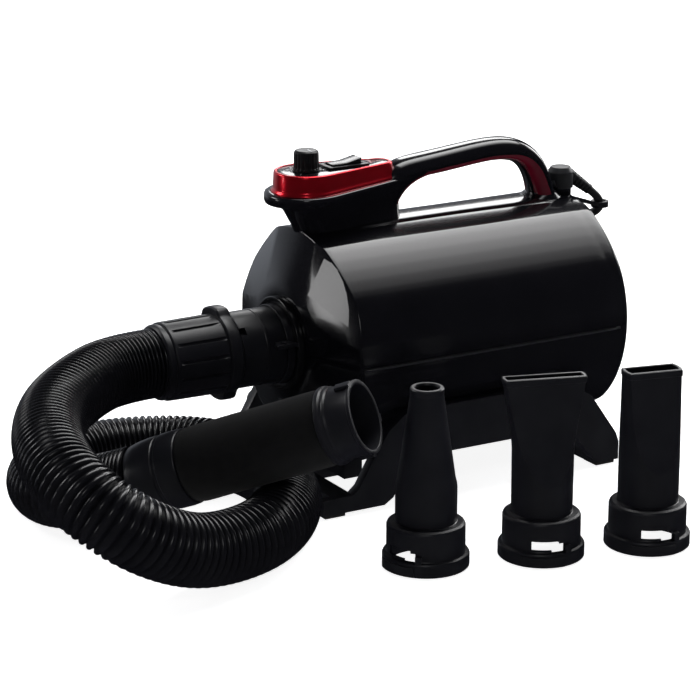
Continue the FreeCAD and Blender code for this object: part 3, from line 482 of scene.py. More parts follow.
# ------------------------------------------------------------------ hose
TAIL = Vector((-252.7, -61.3, 45.0))
AXIS = Vector((0.6269, -0.6920, 0.3580)).normalized()
lead = TAIL - AXIS * 21
HOSE = [(-210, 0, 113), (-245, 0, 113), (-281, -20, 110), (-317, -52, 106), (-342, -97, 101),
        (-353, -140, 95), (-351, -172, 85), (-334, -194, 69), (-306, -197, 50), (-272, -189, 34),
        (-237, -178, 27.6), (-201, -164, 27.3), (-168, -133, 27.3), (-144, -88, 27.3), (-136, -42, 27.3),
        (-144, -1, 27.3), (-164, 28, 27.3), (-192, 46, 27.3), (-225, 55, 27.3), (-254, 54, 27.3),
        (-279, 44, 27.3), (-297, 24, 27.3), (-303, -2, 27.6), (-293, -25, 29.5), tuple(lead), tuple(TAIL)]
hose_line = spline_points(HOSE, 16)
hose_len = resample(hose_line, 0.01)[1]


def smoothstep(a, b, x):
    t = min(1.0, max(0.0, (x - a) / (b - a)))
    return t * t * (3 - 2 * t)


def pitch(s):
    """Rib spacing along the hose, in metres: tight by the cuff, stretched round the loop."""
    f = s / hose_len
    p = 0.0038 + 0.0013 * smoothstep(0.05, 0.12, f) * (1 - smoothstep(0.27, 0.33, f))
    p += 0.0026 * smoothstep(0.27, 0.34, f) * (1 - smoothstep(0.47, 0.55, f))
    p += 0.0012 * smoothstep(0.55, 0.60, f) * (1 - smoothstep(0.88, 0.94, f))
    return p


def depth(s):
    f = s / hose_len
    d = 0.0024 + 0.0005 * (1 - smoothstep(0.25, 0.30, f))
    d += 0.0012 * smoothstep(0.27, 0.34, f) * (1 - smoothstep(0.50, 0.58, f))
    return d


ribs = []
s = 0.0008
while s < hose_len - 0.002:
    ribs.append(s)
    s += pitch(s)
ribs.append(hose_len - 0.0005)
stations = []
for i in range(len(ribs) - 1):
    a, b = ribs[i], ribs[i + 1]
    g = b - a
    f = a / hose_len
    # in the left bend several ribs close up into smooth bands, and the ones between stand open
    band = 0.0
    if 0.185 < f < 0.30:
        band = 0.25 if (i % 7) not in (0, 1) else -0.3
    dd = depth(a) * (1 - max(0.0, band) * 0.62) * (1.25 if band < 0 else 1.0)
    for k, (t, h) in enumerate(((0.0, 1.0), (0.13, 0.95), (0.27, 0.74), (0.40, 0.26), (0.50, 0.0), (0.60, 0.26), (0.73, 0.74), (0.87, 0.95))):
        stations.append((a + g * t, 0.0268 - dd * (1 - h)))
cum = [0.0]
for a, b in zip(hose_line, hose_line[1:]):
    cum.append(cum[-1] + (b - a).length)


def at_length(line, cum, s, hint=[0]):
    i = hint[0]
    if i >= len(cum) - 1 or cum[i] > s:
        i = 0
    while i < len(cum) - 2 and cum[i + 1] < s:
        i += 1
    hint[0] = i
    f = (s - cum[i]) / max(1e-12, cum[i + 1] - cum[i])
    return line[i].lerp(line[i + 1], f)


hose_st = [(at_length(hose_line, cum, s), r) for s, r in stations]
fr = frames([(p, 0) for p, r in hose_st])
# steady the frames by smoothing the tangents over a short span
tang = []
for s, r in stations:
    a = at_length(hose_line, cum, max(0, s - 0.006))
    b = at_length(hose_line, cum, min(hose_len, s + 0.006))
    tang.append((b - a).normalized())
bm = bmesh.new()
rows = []
u = None
SEG = 56
for (p, r), t in zip(hose_st, tang):
    if u is None:
        u = (Vector((0, 0, 1)) - t * t.z).normalized()
    else:
        u = (u - t * u.dot(t)).normalized()
    w = t.cross(u)
    ring = []
    for j in range(SEG):
        a = TAU * j / SEG
        q = p + (u * math.cos(a) + w * math.sin(a)) * r
        if q.z < 0.0003:
            q.z = 0.0003
        ring.append(bm.verts.new(q))
    rows.append(ring)
# inner wall so that the tube is a closed skin
inner = []
for idx in list(range(len(hose_st) - 1, 0, -24)) + [0]:
    p, r = hose_st[idx]
    t = tang[idx]
    ring0 = rows[idx]
    ring = []
    for v in ring0:
        ring.append(bm.verts.new(p + (v.co - p).normalized() * 0.0222))
    inner.append(ring)
grid_faces(bm, rows + inner, True, True)
hose = new_piece("ribbed_hose", bm, "hose_plastic", "dryer", ["hose_tube"], smooth=math.radians(70))
path_pts = [tuple(p) for p, _ in resample(hose_line, 0.006)[0]]

# ------------------------------------------------------------------ grip on the hose's free end
ax = tuple(AXIS)


def on_grip(t):
    return tuple(TAIL + AXIS * t)


def groove(period, deep, lo, hi):
    def wave(r, z, a):
        if lo <= z <= hi:
            return r - deep * (1 if (z / period) % 1 < 0.5 else 0), z
        return r, z
    return wave


tail_prof = [(22.1, 0), (25.4, 0), (26.2, 2), (27.4, 8), (28.2, 16), (28.5, 24), (27.8, 24.8), (27.8, 27.2), (28.7, 28),
             (28.9, 38), (28.5, 43), (28.0, 44), (22.1, 44)]
tail_cuff = new_piece("grip_tail", lathe(tail_prof, on_grip(0), ax, 96, 0.7), "satin_black", "dryer", ["grip_tail_cuff"])
bm = bmesh.new()
rows = []
SEGG = 96
gu = (Vector((0, 0, 1)) - AXIS * AXIS.z).normalized()
gw = AXIS.cross(gu)
NL = 60
for i in range(NL + 1):
    t = 44.4 + 115.0 * i / NL
    e = min(i, NL - i) / 4.0
    edge_in = 1.1 * (1 - min(1.0, e)) ** 2
    ring = []
    for j in range(SEGG):
        a = TAU * j / SEGG
        c = gu * math.cos(a) + gw * math.sin(a)
        q = TAIL + AXIS * t
        wob = 0.16 * noise.noise(Vector((math.cos(a) * 1.6, math.sin(a) * 1.6, t * 0.045))) + 0.06 * noise.noise(Vector((math.cos(a) * 5, math.sin(a) * 5, t * 0.2)))
        r = 28.25 - edge_in + wob
        ring.append(bm.verts.new(R(*(q + c * r))))
    rows.append(ring)
inn = []
for t in (159.4, 93, 44.4):
    inn.append([bm.verts.new(R(*(TAIL + AXIS * t + (gu * math.cos(TAU * j / SEGG) + gw * math.sin(TAU * j / SEGG)) * 24.05))) for j in range(SEGG)])
grid_faces(bm, rows + inn, True, True)
sleeve = new_piece("grip_foam_cover", bm, "grip_foam", "dryer", ["grip_foam_sleeve"])
mouth_prof = [(22.1, 0), (23.8, 0), (23.8, 18.0), (29.0, 18.0), (29.4, 18.8), (29.4, 21.4), (28.3, 22.6), (28.0, 24.0), (28.2, 25.2),
              (27.3, 26.6), (26.9, 29), (26.9, 43.2), (27.8, 44.0),
              (27.8, 46), (24.5, 46), (24.4, 20), (22.1, 20)]
mouth = new_piece("grip_mouth", lathe(mouth_prof, on_grip(142), ax, 112, 0.45), "satin_black", "dryer", ["grip_mouth_ring"])

# bayonet lugs on the mouth
lug_bm = bmesh.new()


def lug_block(bm, t0, t1, a0, a1, r0, r1, n=8):
    rows_ = []
    for r, tt in ((r0, t0), (r1, t0 + 0.4), (r1, t1 - 0.4), (r0, t1)):
        rows_.append([bm.verts.new(R(*(TAIL + AXIS * tt + (gu * math.cos(a0 + (a1 - a0) * k / n) + gw * math.sin(a0 + (a1 - a0) * k / n)) * r))) for k in range(n + 1)])
    for i in range(len(rows_)):
        a_, b_ = rows_[i], rows_[(i + 1) % len(rows_)]
        for k in range(n):
            bm.faces.new([a_[k], a_[k + 1], b_[k + 1], b_[k]])
    bm.faces.new([r_[0] for r_ in rows_][::-1])
    bm.faces.new([r_[n] for r_ in rows_])


for base_ang in (2.88, 0.25, -1.9):
    lug_block(lug_bm, 176, 188.2, base_ang - 0.10, base_ang + 0.10, 26.0, 29.6)
lugs = new_piece("grip_mouth_lugs", lug_bm, "satin_black", "dryer", smooth=math.radians(25))

# ------------------------------------------------------------------ mains cable, coil, plug
rel_end = (169.5 + 0.81 * 25, 0.0, 216.0 - 0.5864 * 25)
CABLE = [rel_end, (199.8, 0, 194.1), (204, 3, 182), (203, 26, 171.5), (201, 48, 158.5), (199, 64, 140), (197, 70, 122), (196, 73, 98), (195, 75, 72),
         (194, 78, 46), (190, 89, 24), (182, 104, 9), (172, 124, 3.6), (166, 160, 3.5), (160, 200, 3.5),
         (130, 228, 3.5), (85, 236, 3.5), (40, 228, 3.5), (2, 214, 3.5), (-22, 198, 3.5), (-34, 176, 3.5),
         (-26, 152, 3.5), (-4, 138, 3.5), (22, 136, 3.5), (46, 142, 3.5)]
COIL = (104.0, 168.0)
coil_pts = []
turn_r = (45.5, 38.5, 45.2, 38.2, 45.4, 38.8, 42.0, 45.0, 40.0)
turn_z = (3.6, 3.6, 9.6, 9.6, 15.4, 15.4, 9.8, 3.8, 15.0)
turns = 8.6
steps = int(turns * 14)
levels = [(46.4, 3.55), (39.2, 3.55), (42.8, 9.7), (48.0, 10.4), (38.0, 10.4), (45.6, 16.6), (38.6, 16.9), (42.2, 16.9), (45.8, 17.2), (41.0, 17.3)]
start_a = math.atan2(150 - COIL[1], 58 - COIL[0])
for k in range(steps + 1):
    tt = k / 14
    i = int(tt)
    f = tt - i
    g = smoothstep(0.78, 1.0, f)
    r0, z0 = levels[min(i, len(levels) - 1)]
    r1, z1 = levels[min(i + 1, len(levels) - 1)]
    a = start_a + TAU * tt
    rr = r0 + (r1 - r0) * g + 0.5 * math.sin(3.1 * a + i)
    zz = z0 + (z1 - z0) * g
    coil_pts.append((COIL[0] + rr * math.cos(a), COIL[1] + rr * math.sin(a), zz))
cu = bpy.data.curves.new("mains_lead", "CURVE")
cu.dimensions = "3D"
cu.bevel_depth = 0.0035
cu.bevel_resolution = 4
cu.resolution_u = 8
cu.use_fill_caps = True
sp = cu.splines.new("NURBS")
all_pts = CABLE + coil_pts
# the far end rises to the plug lying on the coil
last = coil_pts[-1]
sp.points.add(len(all_pts) - 1)
for p, q in zip(sp.points, all_pts):
    p.co = (*R(*q), 1)
sp.order_u = 3
sp.use_endpoint_u = True
lead_obj = bpy.data.objects.new("mains_lead", cu)
scene.collection.objects.link(lead_obj)
cu.materials.append(M["cable_black"])
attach(lead_obj, "dryer")
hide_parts("mains_cable", "mains_coil")
cable_line = spline_points(all_pts, 8)
plug = soft_copy("mains_plug", 1.6, 3)
tie_piece = soft_copy("coil_tie", 0.6, 2)


# ------------------------------------------------------------------ casing
def arc3(p0, p1, p2, n):
    """Points of the arc through three points, the last left out."""
    (ax_, ay_), (bx_, by_), (cx_, cy_) = p0, p1, p2
    d = 2 * (ax_ * (by_ - cy_) + bx_ * (cy_ - ay_) + cx_ * (ay_ - by_))
    ux = ((ax_ ** 2 + ay_ ** 2) * (by_ - cy_) + (bx_ ** 2 + by_ ** 2) * (cy_ - ay_) + (cx_ ** 2 + cy_ ** 2) * (ay_ - by_)) / d
    uy = ((ax_ ** 2 + ay_ ** 2) * (cx_ - bx_) + (bx_ ** 2 + by_ ** 2) * (ax_ - cx_) + (cx_ ** 2 + cy_ ** 2) * (bx_ - ax_)) / d
    r = math.hypot(ax_ - ux, ay_ - uy)
    a0 = math.atan2(ay_ - uy, ax_ - ux)
    a1 = math.atan2(by_ - uy, bx_ - ux)
    a2 = math.atan2(cy_ - uy, cx_ - ux)

    def unwrap(a, ref, sign):
        while sign * (a - ref) < 0:
            a += sign * TAU
        while sign * (a - ref) > TAU:
            a -= sign * TAU
        return a
    cross = (bx_ - ax_) * (cy_ - by_) - (by_ - ay_) * (cx_ - bx_)
    sg = 1 if cross > 0 else -1
    a2 = unwrap(a2, a0, sg)
    return [(ux + r * math.cos(a0 + (a2 - a0) * k / n), uy + r * math.sin(a0 + (a2 - a0) * k / n)) for k in range(n)]


def line2(p0, p1, n):
    return [(p0[0] + (p1[0] - p0[0]) * k / n, p0[1] + (p1[1] - p0[1]) * k / n) for k in range(n)]


def case_section():
    s_ = []
    s_ += arc3((-38, 195.5), (0, 202.5), (38, 195.5), 24)
    s_ += arc3((38, 195.5), (59.9, 179.95), (80, 162), 12)
    s_ += arc3((80, 162), (92.5, 139), (96, 113), 12)
    s_ += arc3((96, 113), (89, 75), (66, 44), 14)
    s_ += arc3((66, 44), (0, 26), (-66, 44), 26)
    s_ += arc3((-66, 44), (-89, 75), (-96, 113), 14)
    s_ += arc3((-96, 113), (-92.5, 139), (-80, 162), 12)
    s_ += arc3((-80, 162), (-59.9, 179.95), (-38, 195.5), 12)
    return s_


SEC = case_section()
CZ = 113.0


def env(x):
    """Largest radius about the axis at x: the sloped front and the rounded rear."""
    pts = [(-98, 42), (-83, 97), (-81, 99), (154, 99), (157, 98.7), (160, 97.8), (162.5, 96.4), (164.4, 94.6), (166, 92.4), (167.3, 89.0), (168, 85.0)]
    for (x0, r0), (x1, r1) in zip(pts, pts[1:]):
        if x <= x1:
            return r0 + (r1 - r0) * (x - x0) / (x1 - x0)
    return pts[-1][1]


bm = bmesh.new()
rows = []
front_r = [31.8, 36, 42, 50, 58, 66, 74, 80]


def ring_at(fn):
    ring = []
    for y, z in SEC:
        rho = math.hypot(y, z - CZ)
        x, rr = fn(rho)
        k = rr / rho
        ring.append(bm.verts.new(R(x, y * k, CZ + (z - CZ) * k)))
    return ring


def cone_x(r):
    return -98 + 15 * (r - 42) / 55 if r > 42 else -98 - 0.0 * (42 - r)


for r in front_r:
    rows.append(ring_at(lambda rho, r=r: (cone_x(r), r)))
rows.append(ring_at(lambda rho: (cone_x(rho - 5), rho - 5)))
rows.append(ring_at(lambda rho: (cone_x(rho), rho)))
edge_row = len(rows) - 1
for x in (-78, -74, -60, -40, -20, 0, 20, 40, 60, 80, 100, 120, 134, 146, 152):
    rows.append(ring_at(lambda rho, x=x: (x, rho)))
for x in (154, 155.5, 157, 158.5, 160, 161.3, 162.5, 163.6, 164.6, 165.6, 166.5, 167.2, 167.7, 168):
    def fn(rho, x=x):
        e = env(x)
        p = 36
        return x, (rho ** -p + e ** -p) ** (-1 / p)
    rows.append(ring_at(fn))
for r in (75, 68, 60, 54.2):
    rows.append(ring_at(lambda rho, r=r: (168.2, r)))
grid_faces(bm, rows, True, False)
bmesh.ops.recalc_face_normals(bm, faces=bm.faces[:])
# small slanted facets at the two upper front corners
for sgn in (-1, 1):
    A = R(-95.3, sgn * 39.0, 147.0)
    nrm = Vector((-1, sgn * 0.302, 0.262)).normalized()
    geom = bm.verts[:] + bm.edges[:] + bm.faces[:]
    res = bmesh.ops.bisect_plane(bm, geom=geom, plane_co=A, plane_no=nrm, clear_outer=True, clear_inner=False, dist=1e-6)
    cut_edges = [g for g in res["geom_cut"] if isinstance(g, bmesh.types.BMEdge) and g.is_valid and len(g.link_faces) == 1]
    if cut_edges:
        bmesh.ops.holes_fill(bm, edges=cut_edges, sides=400)
bmesh.ops.recalc_face_normals(bm, faces=bm.faces[:])
case_me = bpy.data.meshes.new("case_blank")
bm.to_mesh(case_me)


def half(name, node, keep_up):
    hb = bmesh.new()
    hb.from_mesh(case_me)
    zc = R(0, 0, CZ + (0.25 if keep_up else -0.25))
    nrm = Vector((0, 0, -1)) if keep_up else Vector((0, 0, 1))
    bmesh.ops.bisect_plane(hb, geom=hb.verts[:] + hb.edges[:] + hb.faces[:], plane_co=zc, plane_no=nrm, clear_outer=True, dist=1e-7)
    hard = []
    soft = []
    for e in hb.edges:
        if len(e.link_faces) == 2:
            a_ = math.degrees(e.calc_face_angle(0))
            if a_ > 42:
                hard.append(e)
            elif a_ > 9.5 and abs((e.verts[0].co - e.verts[1].co).normalized().x) > 0.9:
                soft.append(e)
    if hard:
        bmesh.ops.bevel(hb, geom=hard, offset=0.0026, offset_type="OFFSET", segments=4, profile=0.5, affect="EDGES", clamp_overlap=True)
    soft = [e for e in hb.edges if len(e.link_faces) == 2 and 9.5 < math.degrees(e.calc_face_angle(0)) < 40
            and abs((e.verts[0].co - e.verts[1].co).normalized().x) > 0.9]
    if soft:
        bmesh.ops.bevel(hb, geom=soft, offset=0.0011, offset_type="OFFSET", segments=2, profile=0.5, affect="EDGES", clamp_overlap=True)
    bmesh.ops.recalc_face_normals(hb, faces=hb.faces[:])
    o = new_piece(name, hb, "case_gloss", "dryer", [node], smooth=math.radians(24))
    sol = o.modifiers.new("wall", "SOLIDIFY")
    sol.thickness = 0.0024
    sol.offset = -1
    bv = o.modifiers.new("lip", "BEVEL")
    bv.width = 0.0006
    bv.segments = 2
    bv.limit_method = "ANGLE"
    bv.angle_limit = math.radians(60)
    apply_all(o)
    for p in o.data.polygons:
        p.use_smooth = True
    o.data.set_sharp_from_angle(angle=math.radians(24))
    return o


half("casing_top", "upper_housing", True)
half("casing_bottom", "lower_housing", False)
bpy.data.meshes.remove(case_me)
# raised lip along the joint line, on the lower half
bm = bmesh.new()
for sgn in (-1, 1):
    rows = []
    for i in range(61):
        x = -81.5 + (157.0 + 81.5) * i / 60
        e = min(1.0, i / 2, (60 - i) / 2)
        y = 95.6
        prof_ = [(y - 1.2, 110.8), (y + 0.7 * e, 110.95), (y + 1.55 * e, 111.5), (y + 1.65 * e, 111.8), (y + 1.5 * e, 112.0), (y - 0.35, 112.84), (y - 1.2, 112.87)]
        rows.append([bm.verts.new(R(x, sgn * yy, zz)) for yy, zz in prof_])
    grid_faces(bm, rows, True, False)
    bm.faces.new(rows[0][::-1])
    bm.faces.new(rows[-1])
new_piece("casing_lip", bm, "satin_black", "dryer", smooth=math.radians(20))
# a flat panel on one upper front corner (the -y side), a hair proud of its slanted facet
bm = bmesh.new()
for sgn in (-1,):
    outline = [(-33.2, 158.2), (-41.4, 188.4), (-49, 186.6), (-57.2, 181.8), (-64.6, 175.0), (-71.0, 166.4), (-76.4, 155.6), (-80.0, 142.6)]
    low, top = [], []
    cy, cz = sum(p[0] for p in outline) / len(outline), sum(p[1] for p in outline) / len(outline)
    for y, z in outline:
        for lst, k, proud in ((low, 1.0, -0.3), (top, 0.985, 0.28)):
            yy, zz = cy + (y - cy) * k, cz + (z - cz) * k
            x = -95.3 - 0.302 * (yy + 39) + 0.262 * (zz - 147)
            lst.append(bm.verts.new(R(x - proud, -sgn * yy, zz)))
    n_ = len(outline)
    bm.faces.new(top)
    bm.faces.new(low[::-1])
    for k in range(n_):
        bm.faces.new([low[k], low[(k + 1) % n_], top[(k + 1) % n_], top[k]])
bmesh.ops.recalc_face_normals(bm, faces=bm.faces[:])
new_piece("corner_panels", bm, "case_gloss", "dryer", smooth=math.radians(8))


# ------------------------------------------------------------------ neck, rim, bezel, plate
def drop_loop(rf, rr, d, n=64):
    """Teardrop outline about the origin, the small end towards +x, as n + n/2 points."""
    a = math.acos((rf - rr) / d)
    pts = []
    m = n
    for k in range(m + 1):
        t = a + (TAU - 2 * a) * k / m
        pts.append((rf * math.cos(t), rf * math.sin(t)))
    for k in range(1, 9):
        t = k / 9
        p0, p1 = pts[m], (d + rr * math.cos(-a), rr * math.sin(-a))
        pts.append((p0[0] + (p1[0] - p0[0]) * t, p0[1] + (p1[1] - p0[1]) * t))
    q = n // 2
    for k in range(q + 1):
        t = -a + 2 * a * k / q
        pts.append((d + rr * math.cos(t), rr * math.sin(t)))
    p0 = pts[-1]
    p1 = pts[0]
    for k in range(1, 9):
        t = k / 9
        pts.append((p0[0] + (p1[0] - p0[0]) * t, p0[1] + (p1[1] - p0[1]) * t))
    return pts


def drop_rows(bm, spec):
    """spec: (front radius, tail radius, reach, z at the nose, z at the tail)"""
    rows_ = []
    for rf, rr, d, z0, z1 in spec:
        lp = drop_loop(rf, rr, d)
        ring = []
        for x, y in lp:
            t = (x + 33) / (66 + 16 + 33)
            ring.append(bm.verts.new(R(-76 + x, y, z0 + (z1 - z0) * t)))
        rows_.append(ring)
    return rows_


bm = bmesh.new()
rim_rows = drop_rows(bm, [
    (24.0, 12.2, 66, 223.4, 231.0), (30.6, 14.6, 66, 223.2, 231.0), (32.4, 15.6, 66, 223.9, 231.4), (33.0, 16.0, 66, 225.6, 232.0),
    (33.0, 16.0, 66, 230.2, 233.6), (32.6, 15.7, 66, 231.4, 234.4), (31.6, 15.0, 66, 232.0, 235.0), (28.4, 12.6, 66, 232.2, 235.2),
    (28.0, 12.2, 66, 231.2, 234.2), (24.0, 10.6, 66, 230.6, 233.6), (22.0, 9.4, 66, 229.0, 232.6)])
grid_faces(bm, rim_rows, True, True)
new_piece("console_skirt", bm, "case_gloss", "dryer", ["console_rim"], smooth=math.radians(40))
bm = bmesh.new()
bez_rows = drop_rows(bm, [
    (23.0, 8.0, 65.3, 230.8, 234.4), (27.6, 12.0, 66, 230.8, 234.4), (27.9, 12.2, 66, 231.5, 235.0), (27.7, 12.1, 66, 232.8, 236.2),
    (26.9, 11.5, 65.8, 233.8, 237.2), (26.2, 10.9, 65.6, 234.6, 238.0), (26.0, 10.7, 65.5, 236.0, 239.0), (25.6, 10.2, 65.2, 246.4, 246.9),
    (25.3, 9.9, 65.1, 247.6, 247.8), (24.6, 9.3, 65, 248.3, 248.4), (23.6, 8.4, 65, 248.5, 248.5), (22.8, 7.4, 65, 248.2, 248.2),
    (22.7, 7.3, 65, 244.0, 244.0)])
grid_faces(bm, bez_rows, True, True)
new_piece("console_band", bm, "red_metal", "dryer", ["console_bezel"], smooth=math.radians(40))
plate_soft = soft_copy("console_plate", 0.4, 2)

# graduation marks on the plate
bm = bmesh.new()
for k in range(11):
    a = math.radians(225 - 27 * k)
    ln = 2.2 if k % 5 else 3.4
    c, s_ = math.cos(a), math.sin(a)
    quad = []
    for rr, ww in ((13.4, -0.35), (13.4, 0.35), (13.4 + ln, 0.35), (13.4 + ln, -0.35)):
        quad.append((rr * c - ww * s_, rr * s_ + ww * c))
    lo = [bm.verts.new(R(-76 + x, y, 247.9)) for x, y in quad]
    hi = [bm.verts.new(R(-76 + x, y, 248.12)) for x, y in quad]
    bm.faces.new(hi)
    bm.faces.new(lo[::-1])
    for i in range(4):
        j = (i + 1) % 4
        bm.faces.new([lo[i], lo[j], hi[j], hi[i]])
new_piece("dial_marks", bm, "aluminium", "dryer", smooth=math.radians(20))

# neck that carries the control head
bm = bmesh.new()
neck_rows = []
for cx_, rf, rr, d, z0, z1 in ((-68, 17.0, 14.5, 61, 184, 186), (-68.5, 16.6, 13.6, 61.5, 198, 200), (-71, 16.9, 13.0, 63.5, 205, 207),
                               (-74, 17.4, 12.8, 66.5, 211.5, 213), (-75.4, 18.8, 12.8, 67, 216.5, 219), (-76, 21.4, 13.2, 67, 220.6, 224.5),
                               (-76, 24.8, 14.0, 66.8, 222.8, 228.0), (-76, 27.2, 14.4, 66.4, 223.8, 231.2), (-76, 20.0, 10.0, 66, 226.0, 232.6)):
    ring = []
    for x, y in drop_loop(rf, rr, d):
        t = min(1.0, max(0.0, (x + 33) / (66 + 16 + 33)))
        ring.append(bm.verts.new(R(cx_ + x, y, z0 + (z1 - z0) * t)))
    neck_rows.append(ring)
grid_faces(bm, neck_rows, True, False)
bm.faces.new(neck_rows[0][::-1])
bm.faces.new(neck_rows[-1])


# handle bar
HP = [(-12, 0, 214), (-8, 0, 226), (0, 0, 236), (13, 0, 240.2), (34, 0, 241.8), (62, 0, 244.6), (96, 0, 247.8), (119, 0, 243.8),
      (134, 0, 229), (141.5, 0, 208), (144, 0, 186)]
hl = resample(spline_points(HP, 12, 4), 0.0024)[0]


def sweep_profile(bm, line, prof_fn, caps=True):
    rows_ = []
    n = len(line)
    for i, (p, s_) in enumerate(line):
        a = line[max(0, i - 1)][0]
        b = line[min(n - 1, i + 1)][0]
        t = (b - a).normalized()
        nrm = Vector((-t.z, 0, t.x))
        ring = []
        for y, h in prof_fn(i / (n - 1)):
            ring.append(bm.verts.new(p + Vector((0, y / 1000, 0)) + nrm * (h / 1000)))
        rows_.append(ring)
    grid_faces(bm, rows_, True, False)
    if caps:
        bm.faces.new(rows_[0][::-1])
        bm.faces.new(rows_[-1])
    return rows_


def bar_width(f):
    w = 14.6 - 1.0 * math.sin(math.pi * min(1, max(0, (f - 0.15) / 0.8)))
    return w - 2.6 * (1 - smoothstep(0.0, 0.22, f)) + 1.8 * smoothstep(0.85, 1.0, f)


def split_line(f):
    """Height at which the black shell gives way to the red insert."""
    return -3.6 + 4.8 * smoothstep(0.60, 0.84, f)


def shell_prof(f):
    w, lo = bar_width(f), split_line(f)
    pts = []
    for k in range(33):
        a = math.pi * k / 32
        c, s_ = math.cos(a), math.sin(a)
        pts.append((w * math.copysign(abs(c) ** 0.8, c), lo + 1.2 + (7.6 - lo) * abs(s_) ** 0.9))
    pts += [(-w + 0.7, lo), (-w + 2.0, lo - 0.5), (w - 2.0, lo - 0.5), (w - 0.7, lo)]
    return pts


def core_prof(f):
    pts = []
    w, hgt = 6.2, 5.8
    for k in range(17):
        a = -math.pi * k / 16
        c, s_ = math.cos(a), math.sin(a)
        pts.append((w * math.copysign(abs(c) ** 0.55, c), -3.8 + hgt * -abs(s_) ** 0.7))
    pts += [(-w, -2.5), (w, -2.5)]
    return pts


def red_prof(f):
    w, lo = bar_width(f) - 1.0, split_line(f)
    pts = []
    for k in range(21):
        a = -math.pi * k / 20
        c, s_ = math.cos(a), math.sin(a)
        pts.append((w * math.copysign(abs(c) ** 0.5, c), lo - 0.7 - (7.4 + lo) * abs(s_) ** 0.8))
    pts += [(-w, lo + 0.6), (w, lo + 0.6)]
    return pts


def web(bm, edge, inner, half_w, rnd):
    """A fillet web under the front of the bar: an outline in the XZ plane, rounded across its width."""
    outline = edge + inner
    rows_ = []
    for y, off in ((-half_w, rnd), (-half_w + 0.3 * rnd, 0.3 * rnd), (-half_w + rnd, 0), (half_w - rnd, 0), (half_w - 0.3 * rnd, 0.3 * rnd), (half_w, rnd)):
        ring = []
        for k, (x, z) in enumerate(outline):
            if k < len(edge):
                a = edge[max(0, k - 1)]
                b = edge[min(len(edge) - 1, k + 1)]
                tx, tz = b[0] - a[0], b[1] - a[1]
                ln = math.hypot(tx, tz)
                x, z = x - off * tz / ln, z + off * tx / ln
            ring.append(bm.verts.new(R(x, y, z)))
        rows_.append(ring)
    grid_faces(bm, rows_, True, False)
    bm.faces.new(rows_[0][::-1])
    bm.faces.new(rows_[-1])


def fillet_edge(grow):
    pts = []
    P0, P1, P2, P3 = (-4.6, 198), (-3.4, 215), (4.0, 230.0), (27, 235.0)
    for k in range(21):
        t = k / 20
        q = [(1 - t) ** 3 * a + 3 * t * (1 - t) ** 2 * b + 3 * t * t * (1 - t) * c + t ** 3 * d for a, b, c, d in zip(P0, P1, P2, P3)]
        pts.append((q[0] + grow * (1 - t * 0.4), q[1] - grow * t))
    return pts


web(bm, fillet_edge(0.0), [(27, 240), (12, 238.5), (0, 235), (-10, 225), (-14, 200)], 12.4, 2.4)
sweep_profile(bm, hl, shell_prof)
sweep_profile(bm, hl, core_prof)


def ellipse_rows(bm, spec, n=64, lift=0.0):
    rows_ = []
    for cx, a_, b_, z, bulge in spec:
        ring = []
        for k in range(n):
            t = TAU * k / n
            x, y = cx + a_ * math.cos(t), b_ * math.sin(t)
            ring.append(bm.verts.new(R(x, y, z - bulge * (y * y) / 210)))
        rows_.append(ring)
    return rows_


root_rows = ellipse_rows(bm, [(133, 36, 22, 190, 1), (136, 29, 19.5, 198.8, 0.5), (139.5, 20, 17.0, 201.8, 0.3), (142.2, 13.5, 15.4, 205, 0), (143.0, 9, 12, 208, 0)])
grid_faces(bm, root_rows, True, False)
bm.faces.new(root_rows[0][::-1])
bm.faces.new(root_rows[-1])
# low saddle that ties the two feet of the handle along the casing's crown
sad = []
for i in range(41):
    x = -52 + 200 * i / 40
    w = 21.0 - 3.0 * math.sin(math.pi * i / 40)
    row = []
    for k in range(17):
        y = -w + 2 * w * k / 16
        crown = 113 + 89.5 - (1 - math.sqrt(max(0, 1 - (y / 106.6) ** 2))) * 106.6
        up_ = 1.7 * min(1, (1 - abs(y) / w) * 6) * min(1, i / 3, (40 - i) / 3)
        row.append(bm.verts.new(R(x, y, crown - 0.4 + up_)))
    sad.append(row)
for i in range(40):
    for k in range(16):
        bm.faces.new([sad[i][k], sad[i][k + 1], sad[i + 1][k + 1], sad[i + 1][k]])
lowrow = [[bm.verts.new(v.co + Vector((0, 0, -0.002))) for v in row] for row in sad]
for i in range(40):
    for k in range(16):
        bm.faces.new([lowrow[i][k + 1], lowrow[i][k], lowrow[i + 1][k], lowrow[i + 1][k + 1]])
for i in range(40):
    for k in (0, 16):
        f_ = [sad[i][k], sad[i + 1][k], lowrow[i + 1][k], lowrow[i][k]]
        bm.faces.new(f_ if k == 0 else f_[::-1])
for k in range(16):
    for i in (0, 40):
        f_ = [sad[i][k], sad[i][k + 1], lowrow[i][k + 1], lowrow[i][k]]
        bm.faces.new(f_[::-1] if i == 0 else f_)
new_piece("carry_handle", bm, "case_gloss", "dryer", ["handle_moulding"], smooth=math.radians(38))
bm = bmesh.new()
n_h = len(hl)
sweep_profile(bm, hl[int(n_h * 0.16):int(n_h * 0.965)], red_prof)
web(bm, fillet_edge(1.3), [(27, 239), (11, 237.5), (0, 232), (-9, 220), (-10, 200)], 10.6, 0.8)
new_piece("handle_trim_red", bm, "red_plastic", "dryer", ["handle_liner"], smooth=math.radians(38))


# ------------------------------------------------------------------ knob and rocker
def knob_wave(r, z, a):
    if r > 6 and 0.6 < z < 13.2:
        k = (a * 18 / TAU) % 1
        return r - 0.75 * (0.5 + 0.5 * math.cos(TAU * k)) ** 3, z
    return r, z


